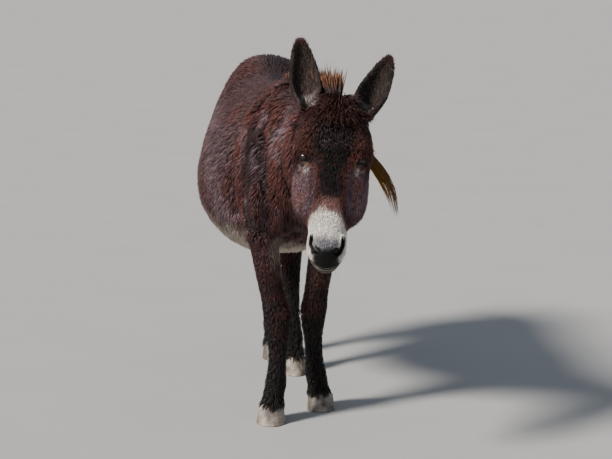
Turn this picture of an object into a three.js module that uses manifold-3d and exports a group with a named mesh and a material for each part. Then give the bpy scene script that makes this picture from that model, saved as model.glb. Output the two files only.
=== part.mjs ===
// A life-size standing donkey in thick winter coat, with its head turned to look ahead and its tail
// swung out to its left. Millimetres, +Z up, the muzzle towards -Y and the animal's left towards +X.
//
// The body is one smooth form, described by fields: functions of a point that are negative inside the
// animal, zero on the tips of its coat and positive outside. Each part is sampled from that same body
// and parted from its neighbours by thin cuts, so that the outline runs on from part to part.
import * as THREE from "three";
import { mergeVertices } from "three/addons/utils/BufferGeometryUtils.js";
import Module from "manifold-3d";

const wasm = await Module();
wasm.setup();

const V = (x, y, z) => new THREE.Vector3(x, y, z);
const DEG = Math.PI / 180;
const RIGHT = -1;
const LEFT = 1;

// ---------------------------------------------------------------- driving dimensions
const GAP = 0.5; // between two neighbouring parts
const SOFT = 34; // how far neighbouring masses run into each other
const ELBOW_HEIGHT = 610; // where a foreleg leaves the trunk
const STIFLE_HEIGHT = 625; // where a hind leg leaves the trunk
const HOOF_HEIGHT = 62; // at the toe
const EYE_RADIUS = 20;
const EAR_LENGTH = 244;

// The trunk from breast to tail: heights of back, widest level and belly, and half its width.
const TRUNK = [
  { at: -500, top: 985, level: 800, bottom: 640, half: 105 },
  { at: -400, top: 1092, level: 800, bottom: 580, half: 150 },
  { at: -270, top: 1098, level: 780, bottom: 530, half: 205 },
  { at: -130, top: 1078, level: 745, bottom: 488, half: 262 },
  { at: 30, top: 1072, level: 715, bottom: 456, half: 285 },
  { at: 170, top: 1090, level: 735, bottom: 480, half: 274 },
  { at: 300, top: 1132, level: 780, bottom: 545, half: 240 },
  { at: 420, top: 1134, level: 850, bottom: 640, half: 196 },
  { at: 510, top: 1060, level: 880, bottom: 720, half: 140 },
];
const BACK_DRAWN_IN = 0.12;

// The neck, along a line from the shoulders to the poll.
const NECK_FROM = V(0, -330, 850);
const NECK_TO = V(72, -800, 945);
const NECK = [
  { at: 0, top: 225, level: 0, bottom: -215, half: 145 },
  { at: 130, top: 204, level: -10, bottom: -212, half: 136 },
  { at: 260, top: 174, level: -12, bottom: -186, half: 118 },
  { at: 380, top: 144, level: -8, bottom: -152, half: 116 },
  { at: 480, top: 114, level: 0, bottom: -122, half: 110 },
];
const CREST_DRAWN_IN = 0.3;

// The head, along a line from the poll to the lips: its top is the face, its bottom the jaw.
const HEAD_AT = V(67.5, -836, 1031);
const HEAD_PITCH = 30.4 * DEG; // the nose forward of plumb
const HEAD_ROLL = 3.8 * DEG; // the poll towards the animal's left
const HEAD_YAW = -8.2 * DEG;
const HEAD = [
  { at: 0, top: 44, level: -22, bottom: -80, half: 96 },
  { at: 60, top: 66, level: -30, bottom: -98, half: 118 },
  { at: 130, top: 76, level: -38, bottom: -108, half: 119 },
  { at: 190, top: 73, level: -40, bottom: -118, half: 106 },
  { at: 250, top: 67, level: -30, bottom: -112, half: 84 },
  { at: 320, top: 62, level: -12, bottom: -92, half: 62 },
  { at: 390, top: 59, level: -6, bottom: -70, half: 53 },
  { at: 440, top: 52, level: -5, bottom: -54, half: 45 },
];
const POLL_CAP = 40;
const MUZZLE_CAP = 54;
// An eye: where its axis starts and points on the left, in the head's own frame, and how far the
// ball stands out of the coat.
const EYE_FROM = V(22, -16, 156);
const EYE_WAY = V(0.74, 0.67, 0);
const EYE_OUT = 2.5;

// Half sizes of a leg at each height, across and fore and aft.
const FORELEG = [
  { at: 34, wide: 43, deep: 47 },
  { at: 56, wide: 42, deep: 45 },
  { at: 88, wide: 35, deep: 38 },
  { at: 116, wide: 38, deep: 42 },
  { at: 160, wide: 32, deep: 37 },
  { at: 230, wide: 31, deep: 35 },
  { at: 290, wide: 38, deep: 39 },
  { at: 335, wide: 47, deep: 46 },
  { at: 390, wide: 42, deep: 46 },
  { at: 470, wide: 43, deep: 56 },
  { at: 560, wide: 47, deep: 70 },
  { at: 680, wide: 58, deep: 84 },
];
const HIND_LEG = [
  { at: 34, wide: 40, deep: 45 },
  { at: 56, wide: 39, deep: 43 },
  { at: 90, wide: 34, deep: 38 },
  { at: 120, wide: 38, deep: 42 },
  { at: 165, wide: 31, deep: 36 },
  { at: 270, wide: 31, deep: 38 },
  { at: 350, wide: 37, deep: 47 },
  { at: 415, wide: 43, deep: 60 },
  { at: 480, wide: 44, deep: 58 },
  { at: 550, wide: 58, deep: 82 },
  { at: 640, wide: 78, deep: 122 },
  { at: 740, wide: 88, deep: 150 },
];
// Bumps on a leg: height, how far behind its middle, and half sizes.
const FORELEG_BUMPS = [
  { name: "back of the knee", at: 352, back: 30, size: V(20, 22, 36) },
  { name: "fetlock tuft", at: 100, back: 30, size: V(26, 24, 30) },
];
const HIND_LEG_BUMPS = [
  { name: "point of the hock", at: 445, back: 46, size: V(20, 26, 52) },
  { name: "fetlock tuft", at: 102, back: 30, size: V(26, 24, 30) },
];

// Hooves: half width, and reach of toe and heel from the middle, on the ground.
const FORE_HOOF = { wide: 48, toe: 60, heel: 46 };
const HIND_HOOF = { wide: 44, toe: 60, heel: 44 };
const TOE_SLOPE = 0.62; // run over rise
const HEEL_SLOPE = 0.1;
const CORONET_FALL = 0.38; // how much lower the coronet is at the heel
const HOOF_SIDES = 16;
const LEG_SIDES = 14;
const LEG_RINGS = 15;
const HOOF_RISES = [0, 0.06, 0.5, 1];

// Where the middle of each leg lies at each height.
const LEGS = [
  {
    name: "fore_right",
    sizes: FORELEG,
    hoof: FORE_HOOF,
    bumps: FORELEG_BUMPS,
    top: ELBOW_HEIGHT,
    path: [
      { at: 0, side: -90, mid: -505 },
      { at: 62, side: -86, mid: -497 },
      { at: 112, side: -73, mid: -482 },
      { at: 230, side: -64, mid: -470 },
      { at: 335, side: -63, mid: -458 },
      { at: 450, side: -84, mid: -432 },
      { at: 580, side: -102, mid: -408 },
      { at: 700, side: -112, mid: -400 },
    ],
  },
  {
    name: "fore_left",
    sizes: FORELEG,
    hoof: FORE_HOOF,
    bumps: FORELEG_BUMPS,
    top: ELBOW_HEIGHT,
    path: [
      { at: 0, side: 92, mid: -357 },
      { at: 62, side: 88, mid: -356 },
      { at: 112, side: 78, mid: -352 },
      { at: 230, side: 66, mid: -372 },
      { at: 335, side: 64, mid: -388 },
      { at: 450, side: 80, mid: -392 },
      { at: 580, side: 100, mid: -392 },
      { at: 700, side: 112, mid: -400 },
    ],
  },
  {
    name: "hind_right",
    sizes: HIND_LEG,
    hoof: HIND_HOOF,
    bumps: HIND_LEG_BUMPS,
    top: STIFLE_HEIGHT,
    path: [
      { at: 0, side: 18, mid: 362 },
      { at: 62, side: 18, mid: 378 },
      { at: 118, side: 18, mid: 402 },
      { at: 250, side: 22, mid: 440 },
      { at: 415, side: -2, mid: 462 },
      { at: 530, side: -60, mid: 432 },
      { at: 640, side: -100, mid: 398 },
      { at: 760, side: -112, mid: 400 },
    ],
  },
  {
    name: "hind_left",
    sizes: HIND_LEG,
    hoof: HIND_HOOF,
    bumps: HIND_LEG_BUMPS,
    top: STIFLE_HEIGHT,
    path: [
      { at: 0, side: 68, mid: 124 },
      { at: 62, side: 67, mid: 140 },
      { at: 118, side: 66, mid: 164 },
      { at: 250, side: 66, mid: 212 },
      { at: 415, side: 72, mid: 285 },
      { at: 530, side: 90, mid: 295 },
      { at: 640, side: 108, mid: 320 },
      { at: 760, side: 112, mid: 380 },
    ],
  },
];

// Muscle and bone that stand out of the trunk on each side: where on the left, half sizes, tilt.
const TRUNK_MASSES = [
  { name: "shoulder blade", at: V(108, -380, 860), size: V(60, 92, 170), tilt: -22 },
  { name: "upper arm", at: V(108, -440, 710), size: V(64, 95, 120), tilt: 25 },
  { name: "breast", at: V(52, -500, 740), size: V(72, 78, 110), tilt: 0 },
  { name: "elbow", at: V(118, -345, 640), size: V(38, 50, 60), tilt: 0 },
  { name: "thigh", at: V(112, 400, 790), size: V(92, 150, 210), tilt: 18 },
  { name: "buttock", at: V(78, 490, 860), size: V(82, 88, 160), tilt: 10 },
];
// The same for the head, with the forelock's hair, in the head's own frame.
const HEAD_MASSES = [
  { name: "brow", at: V(80, 24, 120), size: V(34, 34, 44), tilt: 0 },
  { name: "cheek", at: V(66, -50, 224), size: V(51, 72, 106), tilt: 0 },
  { name: "nostril wall", at: V(34, 12, 420), size: V(24, 34, 34), tilt: 0 },
  { name: "chin", at: V(7, -34, 430), size: V(27, 24, 36), tilt: 0 },
  { name: "forelock", at: V(18, -8, -30), size: V(44, 40, 42), tilt: 0 },
  { name: "ear root", at: V(66, -8, 6), size: V(34, 36, 36), tilt: 0 },
];
const NOSTRIL = { at: V(44, 34, 425), size: V(9, 15, 22), tilt: 14 };

// The tail: its middle line and radii, swung to the left. Bone as far as the split, then long hair.
const TAIL = [
  { at: V(0, 480, 1030), radius: 46 },
  { at: V(8, 590, 985), radius: 36 },
  { at: V(95, 652, 905), radius: 28 },
  { at: V(235, 600, 835), radius: 24 },
  { at: V(352, 490, 765), radius: 21 },
  { at: V(420, 425, 690), radius: 27 },
  { at: V(462, 402, 610), radius: 27 },
  { at: V(486, 396, 505), radius: 9 },
];
const TAIL_SPLIT = 0.56; // of the way along the line
const TAIL_SIDES = 12;

// The upright mane: a ridge along the crest from the withers to between the ears.
const MANE = [
  { at: -30, tall: 6, thick: 14 },
  { at: 60, tall: 30, thick: 18 },
  { at: 200, tall: 64, thick: 22 },
  { at: 340, tall: 104, thick: 26 },
  { at: 430, tall: 140, thick: 30 },
  { at: 490, tall: 132, thick: 30 },
  { at: 525, tall: 84, thick: 22 },
];
const MANE_ROOT = 30; // how far the ridge is set into the crest before it is cut to it

// An ear from root to tip: the curl of its shell round its hollow, and how far it bows back.
const EAR = [
  { at: 0, radius: 28, wrap: 150, bow: 0 },
  { at: 0.12, radius: 33, wrap: 130, bow: 4 },
  { at: 0.3, radius: 41, wrap: 102, bow: 8 },
  { at: 0.5, radius: 45, wrap: 82, bow: 8 },
  { at: 0.7, radius: 40, wrap: 72, bow: 4 },
  { at: 0.88, radius: 28, wrap: 66, bow: -3 },
  { at: 0.97, radius: 20, wrap: 62, bow: -9 },
  { at: 1, radius: 12, wrap: 60, bow: -12 },
];
const EAR_THICK = 13;
const EAR_ROWS = 9;
const EAR_COLUMNS = 8;
// Where an ear stands on the head and its turns, in the head's own frame.
const EARS = [
  { name: "ear_right", at: V(-73, -2, 4), forward: 9, outward: -11.3, open: 0 },
  { name: "ear_left", at: V(72, -2, 0), forward: -8, outward: 20.5, open: -4 },
];

const HEAD_RINGS = 18;
const HEAD_SIDES = 22;

// The cuts that part neck from trunk and head from neck, by a point and the way the cut faces.
const SLEEVE = 8; // how far a leg's own piece may swell past its table where it runs into the trunk
const STUB = 20; // how much of a leg is sampled with the trunk before the two are parted
const NECK_CUT = { at: V(0, -500, 880), normal: V(0, -0.906, 0.427) };
const HEAD_CUT = { at: V(0, -40, -40), normal: V(0, 0.93, 0.375) }; // in the head's own frame

const COAT_COLOUR = 0x5a4436;
const HEAD_COLOUR = 0x4c3a30;
const LEG_COLOUR = 0x4a3d36;
const MANE_COLOUR = 0x6b4a35;
const HOOF_COLOUR = 0xa39a86;
const EYE_COLOUR = 0x14100d;

// ---------------------------------------------------------------- smooth tables
// A smooth value at t from rows that each hold `at` and `key`, level past both ends.
function along(rows, key, t) {
  const last = rows.length - 1;
  if (t <= rows[0].at) return rows[0][key];
  if (t >= rows[last].at) return rows[last][key];
  let i = 0;
  while (t > rows[i + 1].at) i++;
  const slope = (k) => {
    const a = rows[Math.max(k - 1, 0)];
    const b = rows[Math.min(k + 1, last)];
    return (b[key] - a[key]) / (b.at - a.at);
  };
  const [a, b] = [rows[i], rows[i + 1]];
  const step = b.at - a.at;
  const u = (t - a.at) / step;
  return (
    a[key] * (1 + 2 * u) * (1 - u) ** 2 +
    slope(i) * step * u * (1 - u) ** 2 +
    b[key] * u * u * (3 - 2 * u) +
    slope(i + 1) * step * u * u * (u - 1)
  );
}

// ---------------------------------------------------------------- frames and fields
// Frames hold a part's side in x, its top in y and its length in z.
const TRUNK_FRAME = new THREE.Matrix4().makeBasis(V(-1, 0, 0), V(0, 0, 1), V(0, 1, 0));

const NECK_FRAME = (() => {
  const z = NECK_TO.clone().sub(NECK_FROM).normalize();
  const x = V(0, 0, 1).cross(z).normalize();
  return new THREE.Matrix4().makeBasis(x, z.clone().cross(x), z).setPosition(NECK_FROM);
})();

const HEAD_FRAME = new THREE.Matrix4()
  .makeRotationFromEuler(new THREE.Euler(-HEAD_PITCH, HEAD_ROLL, HEAD_YAW, "ZYX"))
  .multiply(new THREE.Matrix4().makeBasis(V(1, 0, 0), V(0, -1, 0), V(0, 0, -1)))
  .setPosition(HEAD_AT);

// How far (a, b, c) lies outside an ellipsoid of half sizes ra, rb and rc, near its surface.
function outside(a, b, c, ra, rb, rc) {
  const near = Math.hypot(a / ra, b / rb, c / rc);
  const slope = Math.hypot(a / ra ** 2, b / rb ** 2, c / rc ** 2);
  return slope < 1e-9 ? -Math.min(ra, rb, rc) : (near * (near - 1)) / slope;
}

// A mass whose outline across its frame's length follows a table, with rounded ends. Its upper half
// draws in by a share of its width towards the top, as a back does.
function lofted(frame, rows, startCap, endCap, drawnIn) {
  const inverse = frame.clone().invert();
  const first = rows[0].at;
  const last = rows[rows.length - 1].at;
  return (point) => {
    const p = point.clone().applyMatrix4(inverse);
    const level = along(rows, "level", p.z);
    const tall = Math.abs(along(rows, p.y > level ? "top" : "bottom", p.z) - level);
    const past = Math.max(first - p.z, p.z - last, 0);
    const cap = p.z < first ? startCap : endCap;
    const high = THREE.MathUtils.clamp((p.y - level) / tall, 0, 1);
    const half = along(rows, "half", p.z) * (1 - drawnIn * high);
    return outside(p.x, p.y - level, past, half, tall, cap);
  };
}

// An ellipsoid in a frame, tilted about the side axis.
function egg(frame, at, size, tilt) {
  const own = new THREE.Matrix4().makeRotationX(tilt * DEG).setPosition(at);
  const inverse = frame.clone().multiply(own).invert();
  return (point) => {
    const p = point.clone().applyMatrix4(inverse);
    return outside(p.x, p.y, p.z, size.x, size.y, size.z);
  };
}

function bothSides(frame, masses) {
  return masses.flatMap((m) =>
    [LEFT, RIGHT].map((side) => egg(frame, V(m.at.x * side, m.at.y, m.at.z), m.size, m.tilt)),
  );
}

// A leg: upright, with its middle on a path and its half sizes from a table.
function upright(leg) {
  const lowest = leg.sizes[0].at;
  const highest = leg.sizes[leg.sizes.length - 1].at;
  return (p) => {
    const x = p.x - along(leg.path, "side", p.z);
    const y = p.y - along(leg.path, "mid", p.z);
    const past = Math.max(0, lowest - p.z, p.z - highest);
    const cap = p.z < lowest ? 20 : 60;
    return outside(x, y, past, along(leg.sizes, "wide", p.z), along(leg.sizes, "deep", p.z), cap);
  };
}

// The smooth union of fields, which fills the groove between two of them.
function blend(soft, fields) {
  return (point) =>
    fields.reduce((lowest, field) => {
      const next = field(point);
      const close = Math.max(soft - Math.abs(lowest - next), 0) / soft;
      return Math.min(lowest, next) - (close * close * soft) / 4;
    }, Infinity);
}

const WORLD = new THREE.Matrix4();
const legFields = LEGS.map((leg) => {
  const bumps = leg.bumps.map((b) =>
    egg(WORLD, V(along(leg.path, "side", b.at), along(leg.path, "mid", b.at) + b.back, b.at), b.size, 0),
  );
  return blend(16, [upright(leg), ...bumps]);
});
const trunkField = blend(SOFT, [
  lofted(TRUNK_FRAME, TRUNK, 70, 60, BACK_DRAWN_IN),
  ...bothSides(WORLD, TRUNK_MASSES),
]);
const neckField = lofted(NECK_FRAME, NECK, 120, 60, CREST_DRAWN_IN);
const headField = blend(24, [
  lofted(HEAD_FRAME, HEAD, POLL_CAP, MUZZLE_CAP, 0),
  ...bothSides(HEAD_FRAME, HEAD_MASSES),
]);
const bodyField = blend(SOFT, [trunkField, neckField, headField, ...legFields]);

// ---------------------------------------------------------------- solids
// A closed geometry as a solid that can be cut and joined.
function solid(geometry) {
  const bare = geometry.index ? geometry.toNonIndexed() : geometry.clone();
  bare.deleteAttribute("normal");
  bare.deleteAttribute("uv");
  const merged = mergeVertices(bare, 1e-3);
  return new wasm.Manifold(
    new wasm.Mesh({
      numProp: 3,
      vertProperties: merged.attributes.position.array,
      triVerts: new Uint32Array(merged.index.array),
    }),
  );
}

function geometryOf(body) {
  const made = body.getMesh();
  const positions = new Float32Array(made.numVert * 3);
  for (let i = 0; i < made.numVert; i++)
    positions.set(made.vertProperties.subarray(i * made.numProp, i * made.numProp + 3), i * 3);
  return new THREE.BufferGeometry()
    .setAttribute("position", new THREE.BufferAttribute(positions, 3))
    .setIndex(new THREE.BufferAttribute(made.triVerts, 1))
    .toNonIndexed();
}

function indexed(points, triangles) {
  const positions = new Float32Array(points.flatMap((p) => p.toArray()));
  return new THREE.BufferGeometry()
    .setAttribute("position", new THREE.BufferAttribute(positions, 3))
    .setIndex(triangles);
}

// Two triangles for a four-cornered face, across its shorter diagonal.
function quad(points, a, b, c, d) {
  const short = points[a].distanceTo(points[c]) < points[b].distanceTo(points[d]);
  return short ? [a, b, c, a, c, d] : [a, b, d, b, c, d];
}

// A closed skin over rings of points that each run anticlockwise seen from beyond the last ring.
function stacked(rings) {
  const sides = rings[0].length;
  const points = rings.flat();
  const faces = [];
  for (let r = 0; r + 1 < rings.length; r++)
    for (let i = 0; i < sides; i++) {
      const [a, b] = [r * sides + i, r * sides + ((i + 1) % sides)];
      faces.push(a, b, b + sides, a, b + sides, a + sides);
    }
  [0, rings.length - 1].forEach((r) => {
    const middle = points.push(rings[r].reduce((sum, p) => sum.add(p), V(0, 0, 0)).divideScalar(sides)) - 1;
    for (let i = 0; i < sides; i++) {
      const [a, b] = [r * sides + i, r * sides + ((i + 1) % sides)];
      faces.push(...(r ? [a, b, middle] : [b, a, middle]));
    }
  });
  return indexed(points, faces);
}

// A closed skin over a bent sheet: two grids of points, face to back, joined round their edges.
function sheeted(face, back) {
  const [rows, columns] = [face.length, face[0].length];
  const points = [...face.flat(), ...back.flat()];
  const half = rows * columns;
  const faces = [];
  for (let r = 0; r + 1 < rows; r++)
    for (let c = 0; c + 1 < columns; c++) {
      const a = r * columns + c;
      const corners = [a, a + 1, a + columns + 1, a + columns];
      faces.push(...quad(points, ...corners));
      faces.push(...quad(points, ...corners.map((i) => i + half).reverse()));
    }
  const edge = [];
  for (let c = 0; c < columns; c++) edge.push(c);
  for (let r = 1; r < rows; r++) edge.push(r * columns + columns - 1);
  for (let c = columns - 2; c >= 0; c--) edge.push((rows - 1) * columns + c);
  for (let r = rows - 2; r > 0; r--) edge.push(r * columns);
  edge.forEach((a, i) => {
    const b = edge[(i + 1) % edge.length];
    faces.push(...quad(points, b, a, a + half, b + half));
  });
  return indexed(points, faces);
}

// Where a ray from inside a field comes out of it, or its end if that is beyond reach.
function wayOut(field, from, direction, reach) {
  const at = (d) => from.clone().addScaledVector(direction, d);
  const step = 12;
  let far = step;
  while (far < reach && field(at(far)) < 0) far += step;
  if (far >= reach) return at(reach);
  let near = far - step;
  for (let i = 0; i < 12; i++) {
    const middle = (near + far) / 2;
    if (field(at(middle)) < 0) near = middle;
    else far = middle;
  }
  return at(near);
}

// A part of a field round a line: rings across the line, and domes over its two ends.
function around(field, centres, side, top, sides, domeRings, reach) {
  const length = side.clone().cross(top);
  const ring = (centre, rise) =>
    Array.from({ length: sides }, (_, i) => {
      const turn = ((i + 0.5) / sides) * 2 * Math.PI;
      const direction = side
        .clone()
        .multiplyScalar(Math.cos(turn) * Math.cos(rise))
        .addScaledVector(top, Math.sin(turn) * Math.cos(rise))
        .addScaledVector(length, Math.sin(rise));
      return wayOut(field, centre, direction, reach);
    });
  const rises = Array.from({ length: domeRings }, (_, i) => ((i + 1) / (domeRings + 0.6)) * (Math.PI / 2));
  const [first, last] = [centres[0], centres[centres.length - 1]];
  return stacked([
    ...rises.map((rise) => ring(first, -rise)).reverse(),
    ...centres.map((centre) => ring(centre, 0)),
    ...rises.map((rise) => ring(last, rise)),
  ]);
}

// Draws a point that is already close to the surface of a field onto it.
function settled(field, point) {
  const probe = 2;
  for (let i = 0; i < 2; i++) {
    const here = field(point);
    const slope = V(
      field(point.clone().add(V(probe, 0, 0))) - here,
      field(point.clone().add(V(0, probe, 0))) - here,
      field(point.clone().add(V(0, 0, probe))) - here,
    ).divideScalar(probe);
    const move = -here / Math.max(slope.lengthSq(), 0.25);
    point.addScaledVector(slope, THREE.MathUtils.clamp(move, -10, 10));
  }
  return point;
}

// The surface of a field inside a box, on a grid: one point in each cell that the surface crosses.
function netted(field, low, high, cell) {
  const count = high.clone().sub(low).divide(cell).ceil();
  const [nx, ny, nz] = [count.x, count.y, count.z];
  const place = (i, j, k) => V(i, j, k).multiply(cell).add(low);
  const id = (i, j, k) => (i * (ny + 1) + j) * (nz + 1) + k;
  const values = new Float64Array((nx + 1) * (ny + 1) * (nz + 1)).fill(cell.x);
  for (let i = 1; i < nx; i++)
    for (let j = 1; j < ny; j++)
      for (let k = 1; k < nz; k++) values[id(i, j, k)] = field(place(i, j, k));

  const points = [];
  const pointOf = new Map();
  const crossing = (i, j, k) => {
    const sum = V(0, 0, 0);
    let found = 0;
    for (let edge = 0; edge < 12; edge++) {
      const axis = edge >> 2;
      const corner = [0, 0, 0];
      corner[(axis + 1) % 3] = edge & 1;
      corner[(axis + 2) % 3] = (edge >> 1) & 1;
      const a = corner.map((c, n) => c + [i, j, k][n]);
      const b = a.map((c, n) => c + (n === axis ? 1 : 0));
      const [va, vb] = [values[id(...a)], values[id(...b)]];
      if (va < 0 === vb < 0) continue;
      sum.add(place(...a).lerp(place(...b), va / (va - vb)));
      found++;
    }
    if (!found) return null;
    const point = sum.divideScalar(found);
    const atWall = [i, j, k].some((c, n) => c < 1 || c > [nx, ny, nz][n] - 2);
    return atWall ? point : settled(field, point);
  };
  for (let i = 0; i < nx; i++)
    for (let j = 0; j < ny; j++)
      for (let k = 0; k < nz; k++) {
        const point = crossing(i, j, k);
        if (point) pointOf.set(id(i, j, k), points.push(point) - 1);
      }

  const faces = [];
  for (let i = 0; i < nx; i++)
    for (let j = 0; j < ny; j++)
      for (let k = 0; k < nz; k++)
        for (let axis = 0; axis < 3; axis++) {
          const here = [i, j, k];
          const next = here.map((c, n) => c + (n === axis ? 1 : 0));
          const [va, vb] = [values[id(...here)], values[id(...next)]];
          if (va < 0 === vb < 0) continue;
          const round = [[0, 0], [1, 0], [1, 1], [0, 1]].map(([u, v]) => {
            const at = [...here];
            at[(axis + 1) % 3] -= u;
            at[(axis + 2) % 3] -= v;
            return pointOf.get(id(...at));
          });
          faces.push(...quad(points, ...(va < 0 ? round : round.reverse())));
        }
  return indexed(points, faces);
}

// Everything on the far side of a plane through a point, as a block big enough for the animal.
function beyond(point, normal) {
  const size = 4000;
  const block = new THREE.BoxGeometry(size, size, size).translate(0, 0, size / 2);
  const turn = new THREE.Quaternion().setFromUnitVectors(V(0, 0, 1), normal.clone().normalize());
  return solid(block.applyQuaternion(turn).translate(point.x, point.y, point.z));
}

// Both halves of a solid at a plane, a gap apart: first the one the normal points to.
function parted(body, point, normal) {
  const away = normal.clone().normalize();
  const offset = (by) => point.clone().addScaledVector(away, by);
  return [
    body.intersect(beyond(offset(GAP / 2), away)),
    body.intersect(beyond(offset(-GAP / 2), away.clone().negate())),
  ];
}

// The biggest body of a solid, without the crumbs that a cut can leave.
function biggest(body) {
  return body.decompose().reduce((most, next) => (next.volume() > most.volume() ? next : most));
}

const grown = (field, by) => (point) => field(point) - by;
const inBoth = (first, second) => (point) => Math.max(first(point), second(point));
const evenly = (count, from, to) =>
  Array.from({ length: count }, (_, i) => from + ((to - from) * i) / (count - 1));
const inHead = (point) => point.clone().applyMatrix4(HEAD_FRAME);
const headWay = (way) => way.clone().transformDirection(HEAD_FRAME);
const shifted = (body, way) => body.translate(way.clone().setLength(GAP).toArray());

const nodes = [];
function node(name, body, colour) {
  nodes.push({ name, geometry: geometryOf(body), colour });
}

// ---------------------------------------------------------------- hooves
// One ring of a hoof's wall: round at the toe, drawn in at the heels, sloping back as it rises.
function hoofRing(leg, rise) {
  const { wide, toe, heel } = leg.hoof;
  const half = wide * (1 - 0.13 * rise);
  const front = toe - HOOF_HEIGHT * TOE_SLOPE * rise;
  const back = heel + HOOF_HEIGHT * HEEL_SLOPE * rise;
  return Array.from({ length: HOOF_SIDES }, (_, i) => {
    const turn = ((i + 0.5) / HOOF_SIDES) * 2 * Math.PI;
    const behind = Math.max(Math.sin(turn), 0);
    const y = Math.sin(turn) * (behind > 0 ? back : front);
    const fall = 1 - (CORONET_FALL * (y + toe)) / (toe + heel);
    const x = Math.cos(turn) * half * (1 - 0.2 * behind);
    return V(leg.path[0].side + x, leg.path[0].mid + y, HOOF_HEIGHT * rise * fall);
  });
}

// The leg's side of the coronet, where the leg stands on its hoof.
function aboveCoronet(leg) {
  const { toe, heel } = leg.hoof;
  const slope = (HOOF_HEIGHT * CORONET_FALL) / (toe + heel);
  return beyond(V(0, leg.path[0].mid - toe, HOOF_HEIGHT + GAP), V(0, slope, 1));
}

// ---------------------------------------------------------------- the body in pieces
function legTube(field, leg) {
  const centre = (z) => V(along(leg.path, "side", z), along(leg.path, "mid", z), z);
  const centres = evenly(LEG_RINGS, 36, leg.top + 60).map(centre);
  return solid(around(field, centres, V(1, 0, 0), V(0, 1, 0), LEG_SIDES, 1, 300));
}

const stubs = LEGS.map((leg, i) => inBoth(legFields[i], (p) => leg.top - STUB - p.z));
const torsoField = blend(SOFT, [trunkField, neckField, headField, ...stubs]);
const whole = solid(netted(torsoField, V(-322, -972, 430), V(322, 648, 1166), V(46, 46, 46)));
const [front, behind] = parted(whole, NECK_CUT.at, NECK_CUT.normal);

const legTops = LEGS.map((leg, i) => {
  const tube = legTube(grown(legFields[i], SLEEVE + GAP), leg);
  return tube.subtract(beyond(V(0, 0, leg.top + GAP), V(0, 0, 1)));
});
const trunk = biggest(legTops.reduce((body, top) => body.subtract(top), behind));
node("trunk", trunk, COAT_COLOUR);

LEGS.forEach((leg, i) => {
  const own = inBoth(bodyField, grown(legFields[i], SLEEVE));
  const tube = legTube(own, leg);
  const below = tube.subtract(beyond(V(0, 0, leg.top), V(0, 0, 1)));
  node("leg_" + leg.name, biggest(below.intersect(aboveCoronet(leg))), LEG_COLOUR);
  node("hoof_" + leg.name, solid(stacked(HOOF_RISES.map((rise) => hoofRing(leg, rise)))), HOOF_COLOUR);
});

// ---------------------------------------------------------------- head and eyes
const headCutAt = inHead(HEAD_CUT.at);
const headCutWay = headWay(HEAD_CUT.normal);
const neck = biggest(parted(front, headCutAt, headCutWay)[1]);
node("neck", neck, COAT_COLOUR);

const nearHead = (point) => -point.clone().sub(headCutAt).dot(headCutWay) - 20;
const nostrils = bothSides(HEAD_FRAME, [NOSTRIL]);
const faceField = (point) =>
  Math.max(bodyField(point), nearHead(point), ...nostrils.map((nostril) => -nostril(point)));
const headCentres = evenly(HEAD_RINGS, 0, 430).map((z) => inHead(V(0, -18, z)));
const headSide = headWay(V(1, 0, 0));
const headTop = headWay(V(0, 1, 0));
const headTube = solid(around(faceField, headCentres, headSide, headTop, HEAD_SIDES, 4, 260));
const headStart = headCutAt.clone().addScaledVector(headCutWay, GAP / 2);
const headBlock = headTube.intersect(beyond(headStart, headCutWay));

function eyeBall(side, radius) {
  const from = inHead(V(EYE_FROM.x * side, EYE_FROM.y, EYE_FROM.z));
  const way = headWay(V(EYE_WAY.x * side, EYE_WAY.y, EYE_WAY.z));
  const centre = wayOut(bodyField, from, way, 200).addScaledVector(way, EYE_OUT - EYE_RADIUS);
  return solid(new THREE.SphereGeometry(radius, 12, 8).translate(centre.x, centre.y, centre.z));
}
const sockets = [RIGHT, LEFT].map((side) => eyeBall(side, EYE_RADIUS + GAP));
const head = biggest(sockets.reduce((body, socket) => body.subtract(socket), headBlock));
node("head", head, HEAD_COLOUR);
node("eye_right", eyeBall(RIGHT, EYE_RADIUS), EYE_COLOUR);
node("eye_left", eyeBall(LEFT, EYE_RADIUS), EYE_COLOUR);

// ---------------------------------------------------------------- ears
function earSolid(ear) {
  const turns = new THREE.Euler(ear.forward * DEG, -ear.outward * DEG, ear.open * DEG, "XYZ");
  const frame = new THREE.Matrix4().makeRotationFromEuler(turns).setPosition(ear.at).premultiply(HEAD_FRAME);
  const side = (offset) =>
    evenly(EAR_ROWS, 0, 1).map((t) => {
      const radius = along(EAR, "radius", t) + offset;
      const wrap = along(EAR, "wrap", t) * DEG;
      const bow = along(EAR, "bow", t);
      return evenly(EAR_COLUMNS, -wrap, wrap).map((turn) =>
        V(Math.sin(turn) * radius, -Math.cos(turn) * radius - bow, -t * EAR_LENGTH).applyMatrix4(frame),
      );
    });
  return solid(sheeted(side(-EAR_THICK / 2), side(EAR_THICK / 2)));
}
const earSeats = [shifted(head, headWay(V(0, 0, -1))), shifted(neck, V(0, 0, 1))];
EARS.forEach((ear) => {
  const seated = earSeats.reduce((body, seat) => body.subtract(seat), earSolid(ear));
  node(ear.name, biggest(seated), HEAD_COLOUR);
});

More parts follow.
